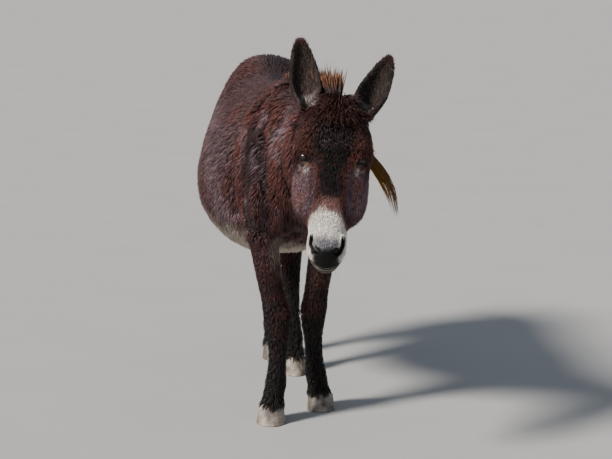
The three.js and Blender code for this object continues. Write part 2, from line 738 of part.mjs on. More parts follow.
// ---------------------------------------------------------------- mane
// The crest over a place along the neck, on the tips of the coat.
function crestAt(t) {
  const up = V(0, 0, 0).setFromMatrixColumn(NECK_FRAME, 1);
  return wayOut(bodyField, V(0, 0, t).applyMatrix4(NECK_FRAME), up, 400);
}
function maneRing(t) {
  const side = V(0, 0, 0).setFromMatrixColumn(NECK_FRAME, 0);
  const up = V(0, 0, 0).setFromMatrixColumn(NECK_FRAME, 1);
  const crest = crestAt(t);
  const tall = along(MANE, "tall", t);
  const thick = along(MANE, "thick", t);
  const outline = [
    [-1, -MANE_ROOT],
    [1, -MANE_ROOT],
    [0.95, tall * 0.5],
    [0.45, tall * 0.9],
    [-0.45, tall * 0.9],
    [-0.95, tall * 0.5],
  ];
  return outline.map(([x, y]) => crest.clone().addScaledVector(side, x * thick).addScaledVector(up, y));
}
const maneBlock = solid(stacked(evenly(11, MANE[0].at, MANE[MANE.length - 1].at).map(maneRing)));
const maneBed = [shifted(whole, V(0, 0, 1)), shifted(head, V(0, 0, 1)), shifted(head, V(0, 1, 0))];
node("mane", biggest(maneBed.reduce((body, bed) => body.subtract(bed), maneBlock)), MANE_COLOUR);

// ---------------------------------------------------------------- tail
const tailLine = new THREE.CatmullRomCurve3(TAIL.map((p) => p.at), false, "centripetal");
function tailRing(t) {
  const centre = tailLine.getPoint(t);
  const way = tailLine.getTangent(t);
  const side = V(0, 0, 1).cross(way).normalize();
  const top = way.clone().cross(side);
  const rows = TAIL.map((p, i) => ({ at: i / (TAIL.length - 1), radius: p.radius }));
  const radius = along(rows, "radius", t);
  return Array.from({ length: TAIL_SIDES }, (_, i) => {
    const turn = (i / TAIL_SIDES) * 2 * Math.PI;
    return centre
      .clone()
      .addScaledVector(side, Math.cos(turn) * radius)
      .addScaledVector(top, Math.sin(turn) * radius);
  });
}
const wholeTail = solid(stacked(evenly(18, 0, 1).map(tailRing)));
const tailSplitAt = tailLine.getPoint(TAIL_SPLIT);
const [tailEnd, tailStart] = parted(wholeTail, tailSplitAt, tailLine.getTangent(TAIL_SPLIT));
node("tail_dock", biggest(tailStart.subtract(shifted(trunk, V(0, 1, 0.5)))), COAT_COLOUR);
node("tail_switch", biggest(tailEnd), MANE_COLOUR);

// ---------------------------------------------------------------- the donkey
const bounds = new THREE.Box3();
nodes.forEach((n) => bounds.union(new THREE.Box3().setFromBufferAttribute(n.geometry.attributes.position)));
const middle = bounds.getCenter(V(0, 0, 0));

const donkey = new THREE.Group();
nodes.forEach(({ name, geometry, colour }) => {
  geometry.translate(-middle.x, -middle.y, -bounds.min.z);
  const mesh = new THREE.Mesh(geometry, new THREE.MeshStandardMaterial({ color: colour, roughness: 0.9 }));
  mesh.name = name;
  donkey.add(mesh);
});
export default donkey;
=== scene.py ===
# A life-size standing donkey in winter coat: one skin under a coat of mesh tufts, with an upright mane,
# a long tail switch, wet eyes in lidded sockets and pale horn hooves. Metres, +Z up, muzzle towards -Y,
# the animal's left towards +X.
import itertools
import math

import bmesh
import bpy
import numpy as np
from mathutils import Matrix, Vector
from mathutils.bvhtree import BVHTree
from mathutils.kdtree import KDTree


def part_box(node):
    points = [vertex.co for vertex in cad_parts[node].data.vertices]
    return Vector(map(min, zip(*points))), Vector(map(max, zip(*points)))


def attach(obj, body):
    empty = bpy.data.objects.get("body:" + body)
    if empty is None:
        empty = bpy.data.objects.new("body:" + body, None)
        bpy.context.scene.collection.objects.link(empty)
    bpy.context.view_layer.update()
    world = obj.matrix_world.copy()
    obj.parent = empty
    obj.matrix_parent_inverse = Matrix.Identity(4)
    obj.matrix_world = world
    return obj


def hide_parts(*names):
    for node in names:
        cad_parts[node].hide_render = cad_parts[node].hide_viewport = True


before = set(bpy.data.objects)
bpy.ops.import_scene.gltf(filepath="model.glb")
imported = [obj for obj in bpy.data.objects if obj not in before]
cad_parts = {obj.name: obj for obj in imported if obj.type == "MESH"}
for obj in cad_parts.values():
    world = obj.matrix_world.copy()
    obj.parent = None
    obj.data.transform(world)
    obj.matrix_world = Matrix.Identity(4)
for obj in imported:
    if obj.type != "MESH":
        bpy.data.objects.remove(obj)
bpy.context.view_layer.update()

MM = 0.001
RIGHT = -1
LEFT = 1

# ---------------------------------------------------------------- the animal's own frames
# The solids' places are written from between the forefeet. A forefoot gives the way to the row's frame.
HOOF_CENTRE_X = -0.090
HOOF_TOE_Y = -0.56385
hoof_low, hoof_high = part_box("hoof_fore_right")
SHIFT = np.array([(hoof_low.x + hoof_high.x) / 2 - HOOF_CENTRE_X, hoof_low.y - HOOF_TOE_Y, 0.0])

HEAD_AT = np.array([0.0675, -0.836, 1.031]) + SHIFT
HEAD_PITCH = math.radians(30.4)
HEAD_ROLL = math.radians(3.8)
HEAD_YAW = math.radians(-8.2)
# The head's frame: x to its left, y out of the face, z from the poll to the lips.
HEAD_TURN = np.array(
    Matrix.Rotation(HEAD_YAW, 3, "Z")
    @ Matrix.Rotation(HEAD_ROLL, 3, "Y")
    @ Matrix.Rotation(-HEAD_PITCH, 3, "X")
    @ Matrix.Diagonal((1, -1, -1))
)
NECK_FROM = np.array([0, -0.330, 0.850]) + SHIFT
NECK_TO = np.array([0.072, -0.800, 0.945]) + SHIFT
EAR_LENGTH = 0.244
# Each ear's root in the head's frame, and its turns in degrees.
EARS = {
    "ear_right": {"at": (-0.073, -0.002, 0.004), "forward": 9, "outward": -11.3, "open": 0},
    "ear_left": {"at": (0.072, -0.002, 0.0), "forward": -8, "outward": 20.5, "open": -4},
}
# How far the ear's middle line bows, by the share of its length.
EAR_BOW = [(0, 0), (0.12, 0.004), (0.3, 0.008), (0.5, 0.008), (0.7, 0.004), (0.88, -0.003), (1, -0.012)]
# The solid tail's middle line and its radius, from root to tip, and where the switch starts on it.
TAIL_LINE = [
    (0, 0.480, 1.030),
    (0.008, 0.590, 0.985),
    (0.095, 0.652, 0.905),
    (0.235, 0.600, 0.835),
    (0.352, 0.490, 0.765),
    (0.420, 0.425, 0.690),
    (0.462, 0.402, 0.610),
    (0.486, 0.396, 0.505),
]
TAIL_RADII = [0.046, 0.036, 0.028, 0.024, 0.021, 0.027, 0.027, 0.009]
SWITCH_FROM = 0.56

FLESH = {
    "trunk": ["trunk"],
    "neck": ["neck"],
    "head": ["head"],
    "ear": ["ear_right", "ear_left"],
    "leg": ["leg_fore_right", "leg_fore_left", "leg_hind_right", "leg_hind_left"],
    "dock": ["tail_dock"],
}
KINDS = list(FLESH)
FLESH_NODES = [node for nodes in FLESH.values() for node in nodes]
EYE_NODES = ["eye_right", "eye_left"]


def in_head(points):
    """Points in the head's own frame."""
    return (np.asarray(points) - HEAD_AT) @ HEAD_TURN


def from_head(points):
    """Points of the head's own frame in the row's frame."""
    return np.asarray(points) @ HEAD_TURN.T + HEAD_AT


def unit(ways):
    """Each way at length 1."""
    return ways / np.maximum(np.linalg.norm(ways, axis=-1, keepdims=True), 1e-9)


def ramp(values, start, end):
    """0 before start, 1 past end, smooth between."""
    part = np.clip((values - start) / (end - start), 0, 1)
    return part * part * (3 - 2 * part)


def folded(points):
    """Points of both sides laid over each other on the left."""
    return np.column_stack([np.abs(points[:, 0]), points[:, 1:]])


def squeezed(points, upright):
    """Points squeezed towards the floor, so that noise at them is drawn out up and down."""
    return points * np.array([1, 1, upright])


def ease(values, reach):
    """A soft step from 1 at nothing to 0 at reach."""
    return 1 - ramp(values, 0, reach)


def across(ways, normals):
    """The share of each way that lies in the surface, at length 1."""
    return unit(ways - (ways * normals).sum(-1, keepdims=True) * normals)


def tail_line(places):
    """Points of the tail's middle line, for places from 0 at the root to 1 at the tip."""
    knots = np.array(TAIL_LINE) + SHIFT
    padded = np.vstack([2 * knots[0] - knots[1], knots, 2 * knots[-1] - knots[-2]])
    at = np.clip(np.asarray(places, float), 0, 0.9999) * (len(knots) - 1)
    i = at.astype(int)
    u = (at - i)[..., None]
    a, b, c, d = (padded[i + k] for k in range(4))
    return 0.5 * (2 * b + (c - a) * u + (2 * a - 5 * b + 4 * c - d) * u**2 + (3 * b - a - 3 * c + d) * u**3)


def tail_radius(places):
    """The solid tail's radius, for places from root to tip."""
    return np.interp(places, np.linspace(0, 1, len(TAIL_RADII)), TAIL_RADII)


# ---------------------------------------------------------------- noise and smoothing
def lattice(cells, seed):
    """A value from 0 to 1 for each whole-numbered cell, the same on every run."""
    mixed = cells.astype(np.int64) @ np.array([73856093, 19349663, 83492791]) + seed * 2654435761
    mixed = (mixed ^ (mixed >> 13)) * 1274126177
    mixed = mixed ^ (mixed >> 16)
    return (mixed & 0xFFFFFF) / 0xFFFFFF


def cloud(points, size, seed=0):
    """Smooth noise from 0 to 1 whose patches are size across."""
    scaled = np.asarray(points) / size
    low = np.floor(scaled)
    part = scaled - low
    part = part * part * (3 - 2 * part)
    total = np.zeros(len(scaled))
    for corner in itertools.product((0, 1), repeat=3):
        weight = np.where(corner, part, 1 - part).prod(axis=1)
        total += weight * lattice(low + corner, seed)
    return total


def spread(values, edges, rounds, share):
    """Values drawn towards the mean of their neighbours over a mesh, by a share, round after round."""
    values = np.array(values, float)
    count = len(values)
    both = np.concatenate([edges[:, 0], edges[:, 1]])
    other = np.concatenate([edges[:, 1], edges[:, 0]])
    near = np.maximum(np.bincount(both, minlength=count), 1)[:, None]
    share = np.broadcast_to(np.asarray(share, float), (count,))[:, None]
    for _ in range(rounds):
        sums = [np.bincount(both, values[other, k], count) for k in range(values.shape[1])]
        values += share * (np.stack(sums, 1) / near - values)
    return values


def numbers(items, key, width, kind=np.float32):
    """One property of many mesh items as an array."""
    flat = np.empty(len(items) * width, kind)
    items.foreach_get(key, flat)
    return flat.reshape(-1, width) if width > 1 else flat


def points_of(mesh):
    """Where a mesh's points are."""
    return numbers(mesh.vertices, "co", 3).astype(float)


def edges_of(mesh):
    """The two points of each of a mesh's edges."""
    return numbers(mesh.edges, "vertices", 2, np.int32)


def normals_of(mesh, rounds=0):
    """The mesh's vertex normals, smoothed over the surface."""
    normals = numbers(mesh.vertices, "normal", 3).astype(float)
    return unit(spread(normals, edges_of(mesh), rounds, 0.6)) if rounds else unit(normals)


def set_points(mesh, points):
    """Moves a mesh's points."""
    mesh.vertices.foreach_set("co", np.asarray(points, np.float32).ravel())
    mesh.update()


# ---------------------------------------------------------------- the skin
SEAM_REACH = 1.5 * MM  # how far each solid swells to run into its neighbour
SKIN_PITCH = 4.8 * MM
SKIN_ROUNDS = 90  # of smoothing over the skin
KIND_ROUNDS = 10  # of blending between the kinds of flesh
SKIN_KEPT = 0.36  # the share of faces left once the body's big plain surfaces are thinned
# How strongly each kind of flesh is smoothed, and how many millimetres its skin lies under the tips.
SOFTNESS = {"trunk": 1, "neck": 1, "head": 0.20, "ear": 0.05, "leg": 0.2, "dock": 0.25}
COAT_DEPTH = {"trunk": 16, "neck": 16, "head": 6, "ear": 2.2, "leg": 6.5, "dock": 6}
DEEPER = {"forehead": 8, "jowl": 4, "muzzle": -3.8}  # in places of the head


def merged_copy(node):
    """A CAD node's mesh with its loose triangles joined, as a bmesh."""
    form = bmesh.new()
    form.from_mesh(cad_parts[node].data)
    bmesh.ops.remove_doubles(form, verts=form.verts, dist=1e-5)
    form.normal_update()
    return form


def move_to(vertices, places):
    """Moves each vertex to its place."""
    for vertex, place in zip(vertices, places):
        vertex.co = place


def new_object(name, data):
    """A mesh, a light or a camera as an object of the scene."""
    piece = bpy.data.objects.new(name, data)
    bpy.context.scene.collection.objects.link(piece)
    return piece


def evaluated(holder):
    """An object's mesh as its modifiers leave it, with the object taken away."""
    graph = bpy.context.evaluated_depsgraph_get()
    result = bpy.data.meshes.new_from_object(holder.evaluated_get(graph))
    mesh = holder.data
    bpy.data.objects.remove(holder)
    bpy.data.meshes.remove(mesh)
    return result


def modified(mesh, kind, **settings):
    """A mesh as one modifier leaves it."""
    holder = new_object("holder", mesh)
    modifier = holder.modifiers.new("finish", kind)
    for key, value in settings.items():
        setattr(modifier, key, value)
    return evaluated(holder)


def rounded(mesh):
    """A coarse mesh with its facets rounded off."""
    return modified(mesh, "SUBSURF", levels=2, render_levels=2)


def thinned(mesh, shares):
    """The mesh with fewer faces on trunk, neck and legs, where the coat hides them."""
    kept = share_of(shares, "head") + share_of(shares, "ear")
    holder = new_object("holder", mesh)
    group = holder.vertex_groups.new(name="thin")
    group.add(np.flatnonzero(kept < 0.5).tolist(), 1.0, "REPLACE")
    modifier = holder.modifiers.new("thin", "DECIMATE")
    modifier.ratio = SKIN_KEPT
    modifier.vertex_group = group.name
    return evaluated(holder)


def flesh_in_one():
    """One closed mesh of small even faces over all the flesh."""
    whole = bmesh.new()
    for node in FLESH_NODES + EYE_NODES:
        form = merged_copy(node)
        move_to(form.verts, [v.co + v.normal * SEAM_REACH for v in form.verts])
        mesh = bpy.data.meshes.new(node + "_swollen")
        form.to_mesh(mesh)
        form.free()
        if node in FLESH["ear"]:
            mesh = rounded(mesh)
        whole.from_mesh(mesh)
        bpy.data.meshes.remove(mesh)
    mesh = bpy.data.meshes.new("flesh")
    whole.to_mesh(mesh)
    whole.free()
    return modified(mesh, "REMESH", mode="VOXEL", voxel_size=SKIN_PITCH)


def kinds_of(points, edges):
    """How far each point belongs to each kind of flesh, one column for each kind."""
    whole = bmesh.new()
    owner = []
    for node in FLESH_NODES:
        kind = next(i for i, k in enumerate(KINDS) if node in FLESH[k])
        whole.from_mesh(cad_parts[node].data)
        owner += [kind] * (len(whole.faces) - len(owner))
    tree = BVHTree.FromBMesh(whole)
    whole.free()
    nearest = [owner[tree.find_nearest(p)[2]] for p in points]
    return spread(np.eye(len(KINDS))[nearest], edges, KIND_ROUNDS, 0.6)


def share_of(shares, kind):
    """How far each point belongs to one kind of flesh."""
    return shares[:, KINDS.index(kind)]


def by_kind(shares, table):
    """A table's values mixed by how far each point belongs to each kind."""
    return shares @ np.array([table[kind] for kind in KINDS], float)


def depth_of_coat(points, shares):
    """How deep the skin lies under the coat's tips, in metres."""
    _, y, z = in_head(points).T
    forehead = ramp(z, 0.15, 0.10) * ramp(y, -0.02, 0.04)
    poll = ramp(z, 0.03, -0.02)
    jowl = ramp(y, 0.0, -0.05) * ramp(z, 0.38, 0.30)
    muzzle = ramp(z, 0.28, 0.40)
    face = DEEPER["forehead"] * np.maximum(forehead, poll) + DEEPER["jowl"] * jowl + DEEPER["muzzle"] * muzzle
    return (by_kind(shares, COAT_DEPTH) + share_of(shares, "head") * face) * MM


# ---------------------------------------------------------------- eyes and their lids
EYE_RADIUS = 0.020
EYE_WAY = (0.74, 0.67, 0)  # out of the left socket, in the head's frame
OPENING = {"long": 17 * MM, "above": 9 * MM, "below": 7.5 * MM}
OPENING_TILT = math.radians(55)  # the inner corner towards the middle of the face
LID_THICK = 1.6 * MM
LID_REACH = 34 * MM  # how far round the eye the lids are drawn
LID_FADE = 8 * MM
# How far out from the opening, how wide, and how proud or deep.
LID_RIM = {"out": 1.4 * MM, "wide": 3 * MM, "above": 2.6 * MM, "below": 1.2 * MM}
LID_FOLD = {"out": 8.5 * MM, "wide": 3 * MM, "deep": 1.8 * MM}
SOCKET_BACK = 3 * MM  # how far the skin inside the opening lies under the eyeball's surface
FAR = 9.0  # further than any point of the animal


def eye_axes(side):
    """An eye's axes: along its opening to the inner corner, up its opening, and out of the head."""
    out = np.array([EYE_WAY[0] * side, EYE_WAY[1], EYE_WAY[2]])
    out /= np.linalg.norm(out)
    inward = np.cross([0, 0, 1], out) * side
    along = math.cos(OPENING_TILT) * np.array([0, 0, 1]) + math.sin(OPENING_TILT) * inward
    up = np.cross(along, out) * side
    up *= np.sign(up @ inward)
    return np.stack([along, up, out]) @ HEAD_TURN.T


def eye_centre(side):
    """An eye's middle."""
    low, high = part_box("eye_left" if side == LEFT else "eye_right")
    return np.array((low + high) / 2)


def eye_edge(points, side):
    """How far each point is outside an eye's opening, seen along its axis, and its three distances."""
    a, b, c = ((points - eye_centre(side)) @ eye_axes(side).T).T
    height = np.where(b > 0, OPENING["above"], OPENING["below"])
    ring = np.maximum(np.hypot(a / OPENING["long"], b / height), 1e-6)
    reach = np.hypot(a, b) / ring
    edge = np.where(ring < 1, (ring - 1) * height, (ring - 1) * np.maximum(reach, height))
    return edge, a, b, c


def lid_edge(points):
    """How far each point is from the nearer eye's opening."""
    gaps = []
    for side in (RIGHT, LEFT):
        edge, _, _, c = eye_edge(points, side)
        gaps.append(np.where(c > 0, edge, FAR))
    return np.minimum(*gaps)


def lids(points):
    """The skin drawn over each eyeball, with an almond opening, a rim and a fold above it."""
    for side in (RIGHT, LEFT):
        axes = eye_axes(side)
        edge, a, b, c = eye_edge(points, side)
        round_ball = np.hypot(a, b)
        ball = EYE_RADIUS + LID_THICK
        over = np.sqrt(np.maximum(ball**2 - np.minimum(round_ball, ball * 0.97) ** 2, 0))
        rim = np.where(b > 0, LID_RIM["above"], LID_RIM["below"])
        rim *= ease(np.abs(edge - LID_RIM["out"]), LID_RIM["wide"])
        fold = np.where(b > 0, -LID_FOLD["deep"] * ease(np.abs(edge - LID_FOLD["out"]), LID_FOLD["wide"]), 0)
        near_ball = ease(round_ball - ball, LID_FADE)
        lid = np.maximum(c, over + rim + fold) * near_ball + c * (1 - near_ball)
        behind = np.sqrt(np.maximum((EYE_RADIUS - SOCKET_BACK) ** 2 - round_ball**2, 0))
        opened = np.where(edge < 0, np.minimum(behind, c), lid)
        worked = (round_ball < LID_REACH) & (c > -0.004)
        points[worked] += ((opened - c)[worked, None]) * axes[2]
    return points


# ---------------------------------------------------------------- muzzle
# The nostril's slit in the head's frame on the left, from its top round to its lower end.
NOSTRIL_LINE = [(0.043, 0.033, 0.402), (0.047, 0.032, 0.418), (0.043, 0.036, 0.436), (0.032, 0.042, 0.447)]
NOSTRIL_DEEP = 16 * MM
NOSTRIL_WIDE = 10 * MM
NOSTRIL_RIM = {"out": 12 * MM, "wide": 6 * MM, "proud": 2.6 * MM}
NOSTRIL_HOLLOW = (0.041, 0.041, 0.425)  # the bare grey place inside the slit's curve
# The mouth's line seen from the side, as places out of the face and down it.
MOUTH_CORNER = (-0.014, 0.415)
MOUTH_FRONT = (0.012, 0.494)
MOUTH_DEEP = 4 * MM
MOUTH_WIDE = 3 * MM
LIP = {"out": 7 * MM, "wide": 4.5 * MM, "proud": 1.6 * MM}
FINE_NOSTRIL = 19 * MM  # how far round each feature the skin's faces are small
FINE_MOUTH = 11 * MM
FINE_EYE = 31 * MM
FINE_ROUNDS = 2  # how often faces there are split


def from_line(points, line):
    """How far each point is from a bent line."""
    best = np.full(len(points), FAR)
    for start, end in zip(np.array(line)[:-1], np.array(line)[1:]):
        way = end - start
        at = np.clip((points - start) @ way / (way @ way), 0, 1)
        best = np.minimum(best, np.linalg.norm(points - start - at[:, None] * way, axis=1))
    return best


def mouth_gap(head_points):
    """How far each point of the muzzle is from the line of the lips."""
    _, y, z = head_points.T
    share = (z - MOUTH_CORNER[1]) / (MOUTH_FRONT[1] - MOUTH_CORNER[1])
    level = MOUTH_CORNER[0] + (MOUTH_FRONT[0] - MOUTH_CORNER[0]) * np.clip(share, 0, 1.2)
    past_corner = np.maximum(MOUTH_CORNER[1] - z, 0)
    return np.hypot(y - level, past_corner)


def nostril_gap(head_points):
    """How far each point is from the nearer nostril's slit."""
    return from_line(folded(head_points), NOSTRIL_LINE)


def muzzle_folds(points, normals):
    """The nostrils' slits with their raised rims, and the line of the mouth with its lips."""
    head_points = in_head(points)
    z = head_points[:, 2]
    slit = nostril_gap(head_points)
    lips = mouth_gap(head_points)
    wide = NOSTRIL_WIDE * (0.85 + 0.5 * ramp(z, 0.405, 0.440))
    rim = NOSTRIL_RIM["proud"] * ramp(z, 0.447, 0.428)
    push = -NOSTRIL_DEEP * ease(slit, wide)
    push += rim * ease(np.abs(slit - NOSTRIL_RIM["out"]), NOSTRIL_RIM["wide"])
    push += -MOUTH_DEEP * ease(lips, MOUTH_WIDE) + LIP["proud"] * ease(np.abs(lips - LIP["out"]), LIP["wide"])
    return points + normals * (push * (z > 0.33))[:, None]


def refine(mesh, wanted, rounds):
    """Splits the faces whose points are wanted, round after round."""
    form = bmesh.new()
    form.from_mesh(mesh)
    for _ in range(rounds):
        points = np.array([v.co for v in form.verts])
        chosen = wanted(points)
        form.verts.ensure_lookup_table()
        edges = [e for e in form.edges if chosen[e.verts[0].index] and chosen[e.verts[1].index]]
        bmesh.ops.subdivide_edges(form, edges=edges, cuts=1, use_grid_fill=True, smooth=0)
        form.verts.index_update()
    bmesh.ops.triangulate(form, faces=[f for f in form.faces if len(f.verts) > 4])
    form.to_mesh(mesh)
    form.free()


def worked_places(points):
    """Where the face needs small faces: round the eyes, the nostrils and the lips."""
    head_points = in_head(points)
    near = nostril_gap(head_points) < FINE_NOSTRIL
    near |= (mouth_gap(head_points) < FINE_MOUTH) & (head_points[:, 2] > 0.40)
    for side in (RIGHT, LEFT):
        near |= np.linalg.norm(points - eye_centre(side), axis=1) < FINE_EYE
    return near


# ---------------------------------------------------------------- folds of the loose coat
# The line behind the shoulder on the left, where its edge stands proud of the ribs.
SHOULDER_EDGE = [
    (0.160, -0.215, 0.985),
    (0.175, -0.285, 0.880),
    (0.180, -0.315, 0.800),
    (0.180, -0.305, 0.730),
    (0.174, -0.262, 0.655),
]
# How far behind or before that line, how wide, and how deep or proud.
HOLLOW = {"behind": 22 * MM, "wide": 46 * MM, "deep": 20 * MM}
RIDGE = {"before": 28 * MM, "wide": 40 * MM, "proud": 9 * MM}
FOLD_WIDTH = 0.036
FOLD_TALL = 15  # millimetres
WAVE_WIDTH = 0.075
WAVE_TALL = 5  # millimetres


def fold_ridges(place):
    """From 0 in the folds to 1 on the ridges of the loose coat down the neck and shoulders."""
    return ramp(cloud(squeezed(place, 0.09), FOLD_WIDTH, 81), 0.36, 0.64)


def shoulder_gaps(place):
    """How far each point is from the hollow behind the shoulder, and from the ridge before it."""
    hollow = from_line(folded(place), np.array(SHOULDER_EDGE) + np.array([0, HOLLOW["behind"], 0]))
    ridge = from_line(folded(place), np.array(SHOULDER_EDGE) - np.array([0, RIDGE["before"], 0]))
    return hollow, ridge


def body_folds(points, normals, shares):
    """The hollow behind each shoulder blade, and loose folds down the neck and shoulders."""
    place = points - SHIFT
    body = 1 - share_of(shares, "head") - share_of(shares, "ear") - share_of(shares, "leg")
    hollow, ridge = shoulder_gaps(place)
    push = -HOLLOW["deep"] * ease(hollow, HOLLOW["wide"]) + RIDGE["proud"] * ease(ridge, RIDGE["wide"])
    front = ramp(place[:, 1], -0.20, -0.36)
    push += front * FOLD_TALL * MM * (fold_ridges(place) - 0.75)
    push += (1 - front) * WAVE_TALL * MM * (cloud(squeezed(place, 0.4), WAVE_WIDTH, 83) - 0.5)
    return points + normals * (push * body)[:, None]


def make_skin():
    """The skin's mesh: the flesh in one, smoothed, sunk by the coat's depth, with the face worked on it."""
    mesh = flesh_in_one()
    edges = edges_of(mesh)
    points = points_of(mesh)
    shares = kinds_of(points, edges)
    points = spread(points, edges, SKIN_ROUNDS, 0.6 * by_kind(shares, SOFTNESS))
    set_points(mesh, points)
    normals = normals_of(mesh, 8)
    points = points - normals * depth_of_coat(points, shares)[:, None]
    set_points(mesh, body_folds(points, normals, shares))
    mesh = thinned(mesh, shares)
    refine(mesh, worked_places, FINE_ROUNDS)
    points = points_of(mesh)
    points = spread(points, edges_of(mesh), 8, 0.5 * worked_places(points))
    set_points(mesh, points)
    set_points(mesh, lids(muzzle_folds(points, normals_of(mesh, 4))))
    return mesh


# ---------------------------------------------------------------- colours of the coat
# Every mark is painted over the ones before it, by an amount from 0 to 1. Its places are in metres, in
# the head's frame for the head. A cloud's numbers are the size of its patches and its seed.
def linear(hex_colour):
    """An sRGB hex colour as linear red, green and blue."""
    parts = [int(hex_colour[i : i + 2], 16) / 255 for i in (1, 3, 5)]
    return np.array([p / 12.92 if p <= 0.04045 else ((p + 0.055) / 1.055) ** 2.4 for p in parts])


CHOCOLATE = linear("#422827")
RUSSET = linear("#5e3029")
GREY_ENDS_AND_SHEEN = linear("#846d73")  # grey winter hair ends, and painted sheen where light catches the coat
NEAR_BLACK = linear("#0c0605")
DARK_FACE = linear("#1f1210")
RUST_BROW = linear("#4e291f")
CHEEK_GREY = linear("#7b626b")
CHEEK_PINK = linear("#86605a")
# Painted shade beside the nose, where the face turns.
CHEEK_SHADOW = linear("#332a32")
TAN = linear("#8d5c3c")
CREAM = linear("#f2e9df")
PALE_BELLY = linear("#b3a598")
NOSE_LILAC = linear("#6b6976")
NOSE_DARK = linear("#0f0c0b")
CHIN_GREY = linear("#453c35")
DARK_LEG = linear("#130a08")
KNEE_RED = linear("#42211a")
EAR_DARK = linear("#1c120e")
EAR_LINING = linear("#463831")
EAR_RIM = linear("#3f261f")
MANE_ROOT = linear("#25130e")
MANE_RED = linear("#4c2619")
MANE_GOLD = linear("#8f6537")
TAIL_DARK = linear("#2a170e")
TAIL_BROWN = linear("#6a4018")
TAIL_GOLD = linear("#d09c3c")


def paint(colours, colour, amount):
    """Colours drawn towards one colour by an amount from 0 to 1."""
    return colours + (colour - colours) * np.clip(amount, 0, 1)[:, None]


def filled(points, colour):
    """One colour at every place."""
    return np.tile(colour, (len(points), 1))


def profile(places, table):
    """A table's value at each place, straight between its rows."""
    return np.interp(places, *np.array(table).T)


def around_spot(head_points, spot, reach):
    """1 at a spot on either side of the head, easing to 0 at its reach."""
    return ease(np.linalg.norm(folded(head_points) - np.array(spot), axis=1), reach)


def ear_places(points):
    """For the nearer ear: the place from root to tip, and the way out of its hollow."""
    head_points = in_head(points)
    place = np.zeros(len(points))
    way = np.zeros((len(points), 3))
    axis = np.zeros((len(points), 3))
    for name, ear in EARS.items():
        side = LEFT if name == "ear_left" else RIGHT
        mine = head_points[:, 0] * side > 0
        turns = np.array(ear_turn(ear))
        own = (head_points[mine] - np.array(ear["at"])) @ turns
        along = np.clip(-own[:, 2] / EAR_LENGTH, 0, 1)
        bow = profile(along, EAR_BOW)
        radial = np.column_stack([own[:, 0], own[:, 1] + bow, np.zeros(len(own))])
        place[mine] = along
        way[mine] = unit(radial) @ turns.T @ HEAD_TURN.T
        axis[mine] = HEAD_TURN @ turns @ np.array([0, 0, -1])
    return place, way, axis


def ear_turn(ear):
    """An ear's turn in the head's frame."""
    forward, outward, wide_open = (math.radians(ear[k]) for k in ("forward", "outward", "open"))
    return (
        Matrix.Rotation(forward, 3, "X")
        @ Matrix.Rotation(-outward, 3, "Y")
        @ Matrix.Rotation(wide_open, 3, "Z")
    )


NECK_SHEEN_SPOT = (0.050, -0.560, 0.990)  # the middle of the painted grey sheen on each side of the neck


def trunk_marks(colours, points, place):
    """Russet patches all over, and grey hair ends with painted sheen on the ribs."""
    wide, y, z = folded(place).T
    tall = squeezed(points, 0.5)
    colours = paint(colours, RUSSET, 0.8 * ramp(cloud(tall, 0.06, 5), 0.35, 0.75))
    patches = 0.5 * ramp(cloud(tall, 0.07, 9), 0.3, 0.8) + 0.5 * ramp(cloud(tall, 0.025, 7), 0.35, 0.7)
    # Grey hair ends with painted sheen over the flanks' ribs.
    ribs = ramp(wide, 0.13, 0.22) * ramp(z, 1.06, 0.92) * ramp(y, -0.26, -0.18) * ramp(y, 0.42, 0.28)
    return paint(colours, GREY_ENDS_AND_SHEEN, (0.25 + 0.6 * ribs) * patches + 0.12 * ribs)


def neck_marks(colours, points, place):
    """Neck and shoulders: russet ridges, painted shade in folds, grey ends and a patch with painted sheen."""
    front = ramp(place[:, 1], -0.20, -0.34)
    ridges = fold_ridges(place)
    colours = paint(colours, RUSSET * 1.15, 0.85 * front * ramp(ridges, 0.35, 0.9))
    # Painted shade darkens the folds between the ridges.
    colours = paint(colours, CHOCOLATE * 0.42, 0.8 * front * ramp(ridges, 0.5, 0.1))
    # Streaks of grey hair ends with painted sheen.
    frosted_sheen = ramp(cloud(squeezed(points, 0.5), 0.028, 15), 0.62, 0.85)
    colours = paint(colours, GREY_ENDS_AND_SHEEN, 0.55 * front * frosted_sheen)
    # A painted grey sheen on each side of the neck.
    from_patch = squeezed(folded(place) - np.array(NECK_SHEEN_SPOT), 0.6)
    patch = ease(np.linalg.norm(from_patch, axis=1) - 0.035, 0.06)
    streaks = ramp(cloud(squeezed(points, 0.25), 0.010, 17), 0.3, 0.6)
    colours = paint(colours, GREY_ENDS_AND_SHEEN * 1.15, 0.8 * patch * streaks)
    hollow, ridge = shoulder_gaps(place)
    # Grey hair ends with painted sheen behind the shoulder, and a painted highlight along its edge.
    colours = paint(colours, GREY_ENDS_AND_SHEEN * 1.05, 0.5 * ease(hollow - 0.006, 0.034))
    return paint(colours, RUSSET * 1.1, 0.6 * ease(ridge, 0.030))


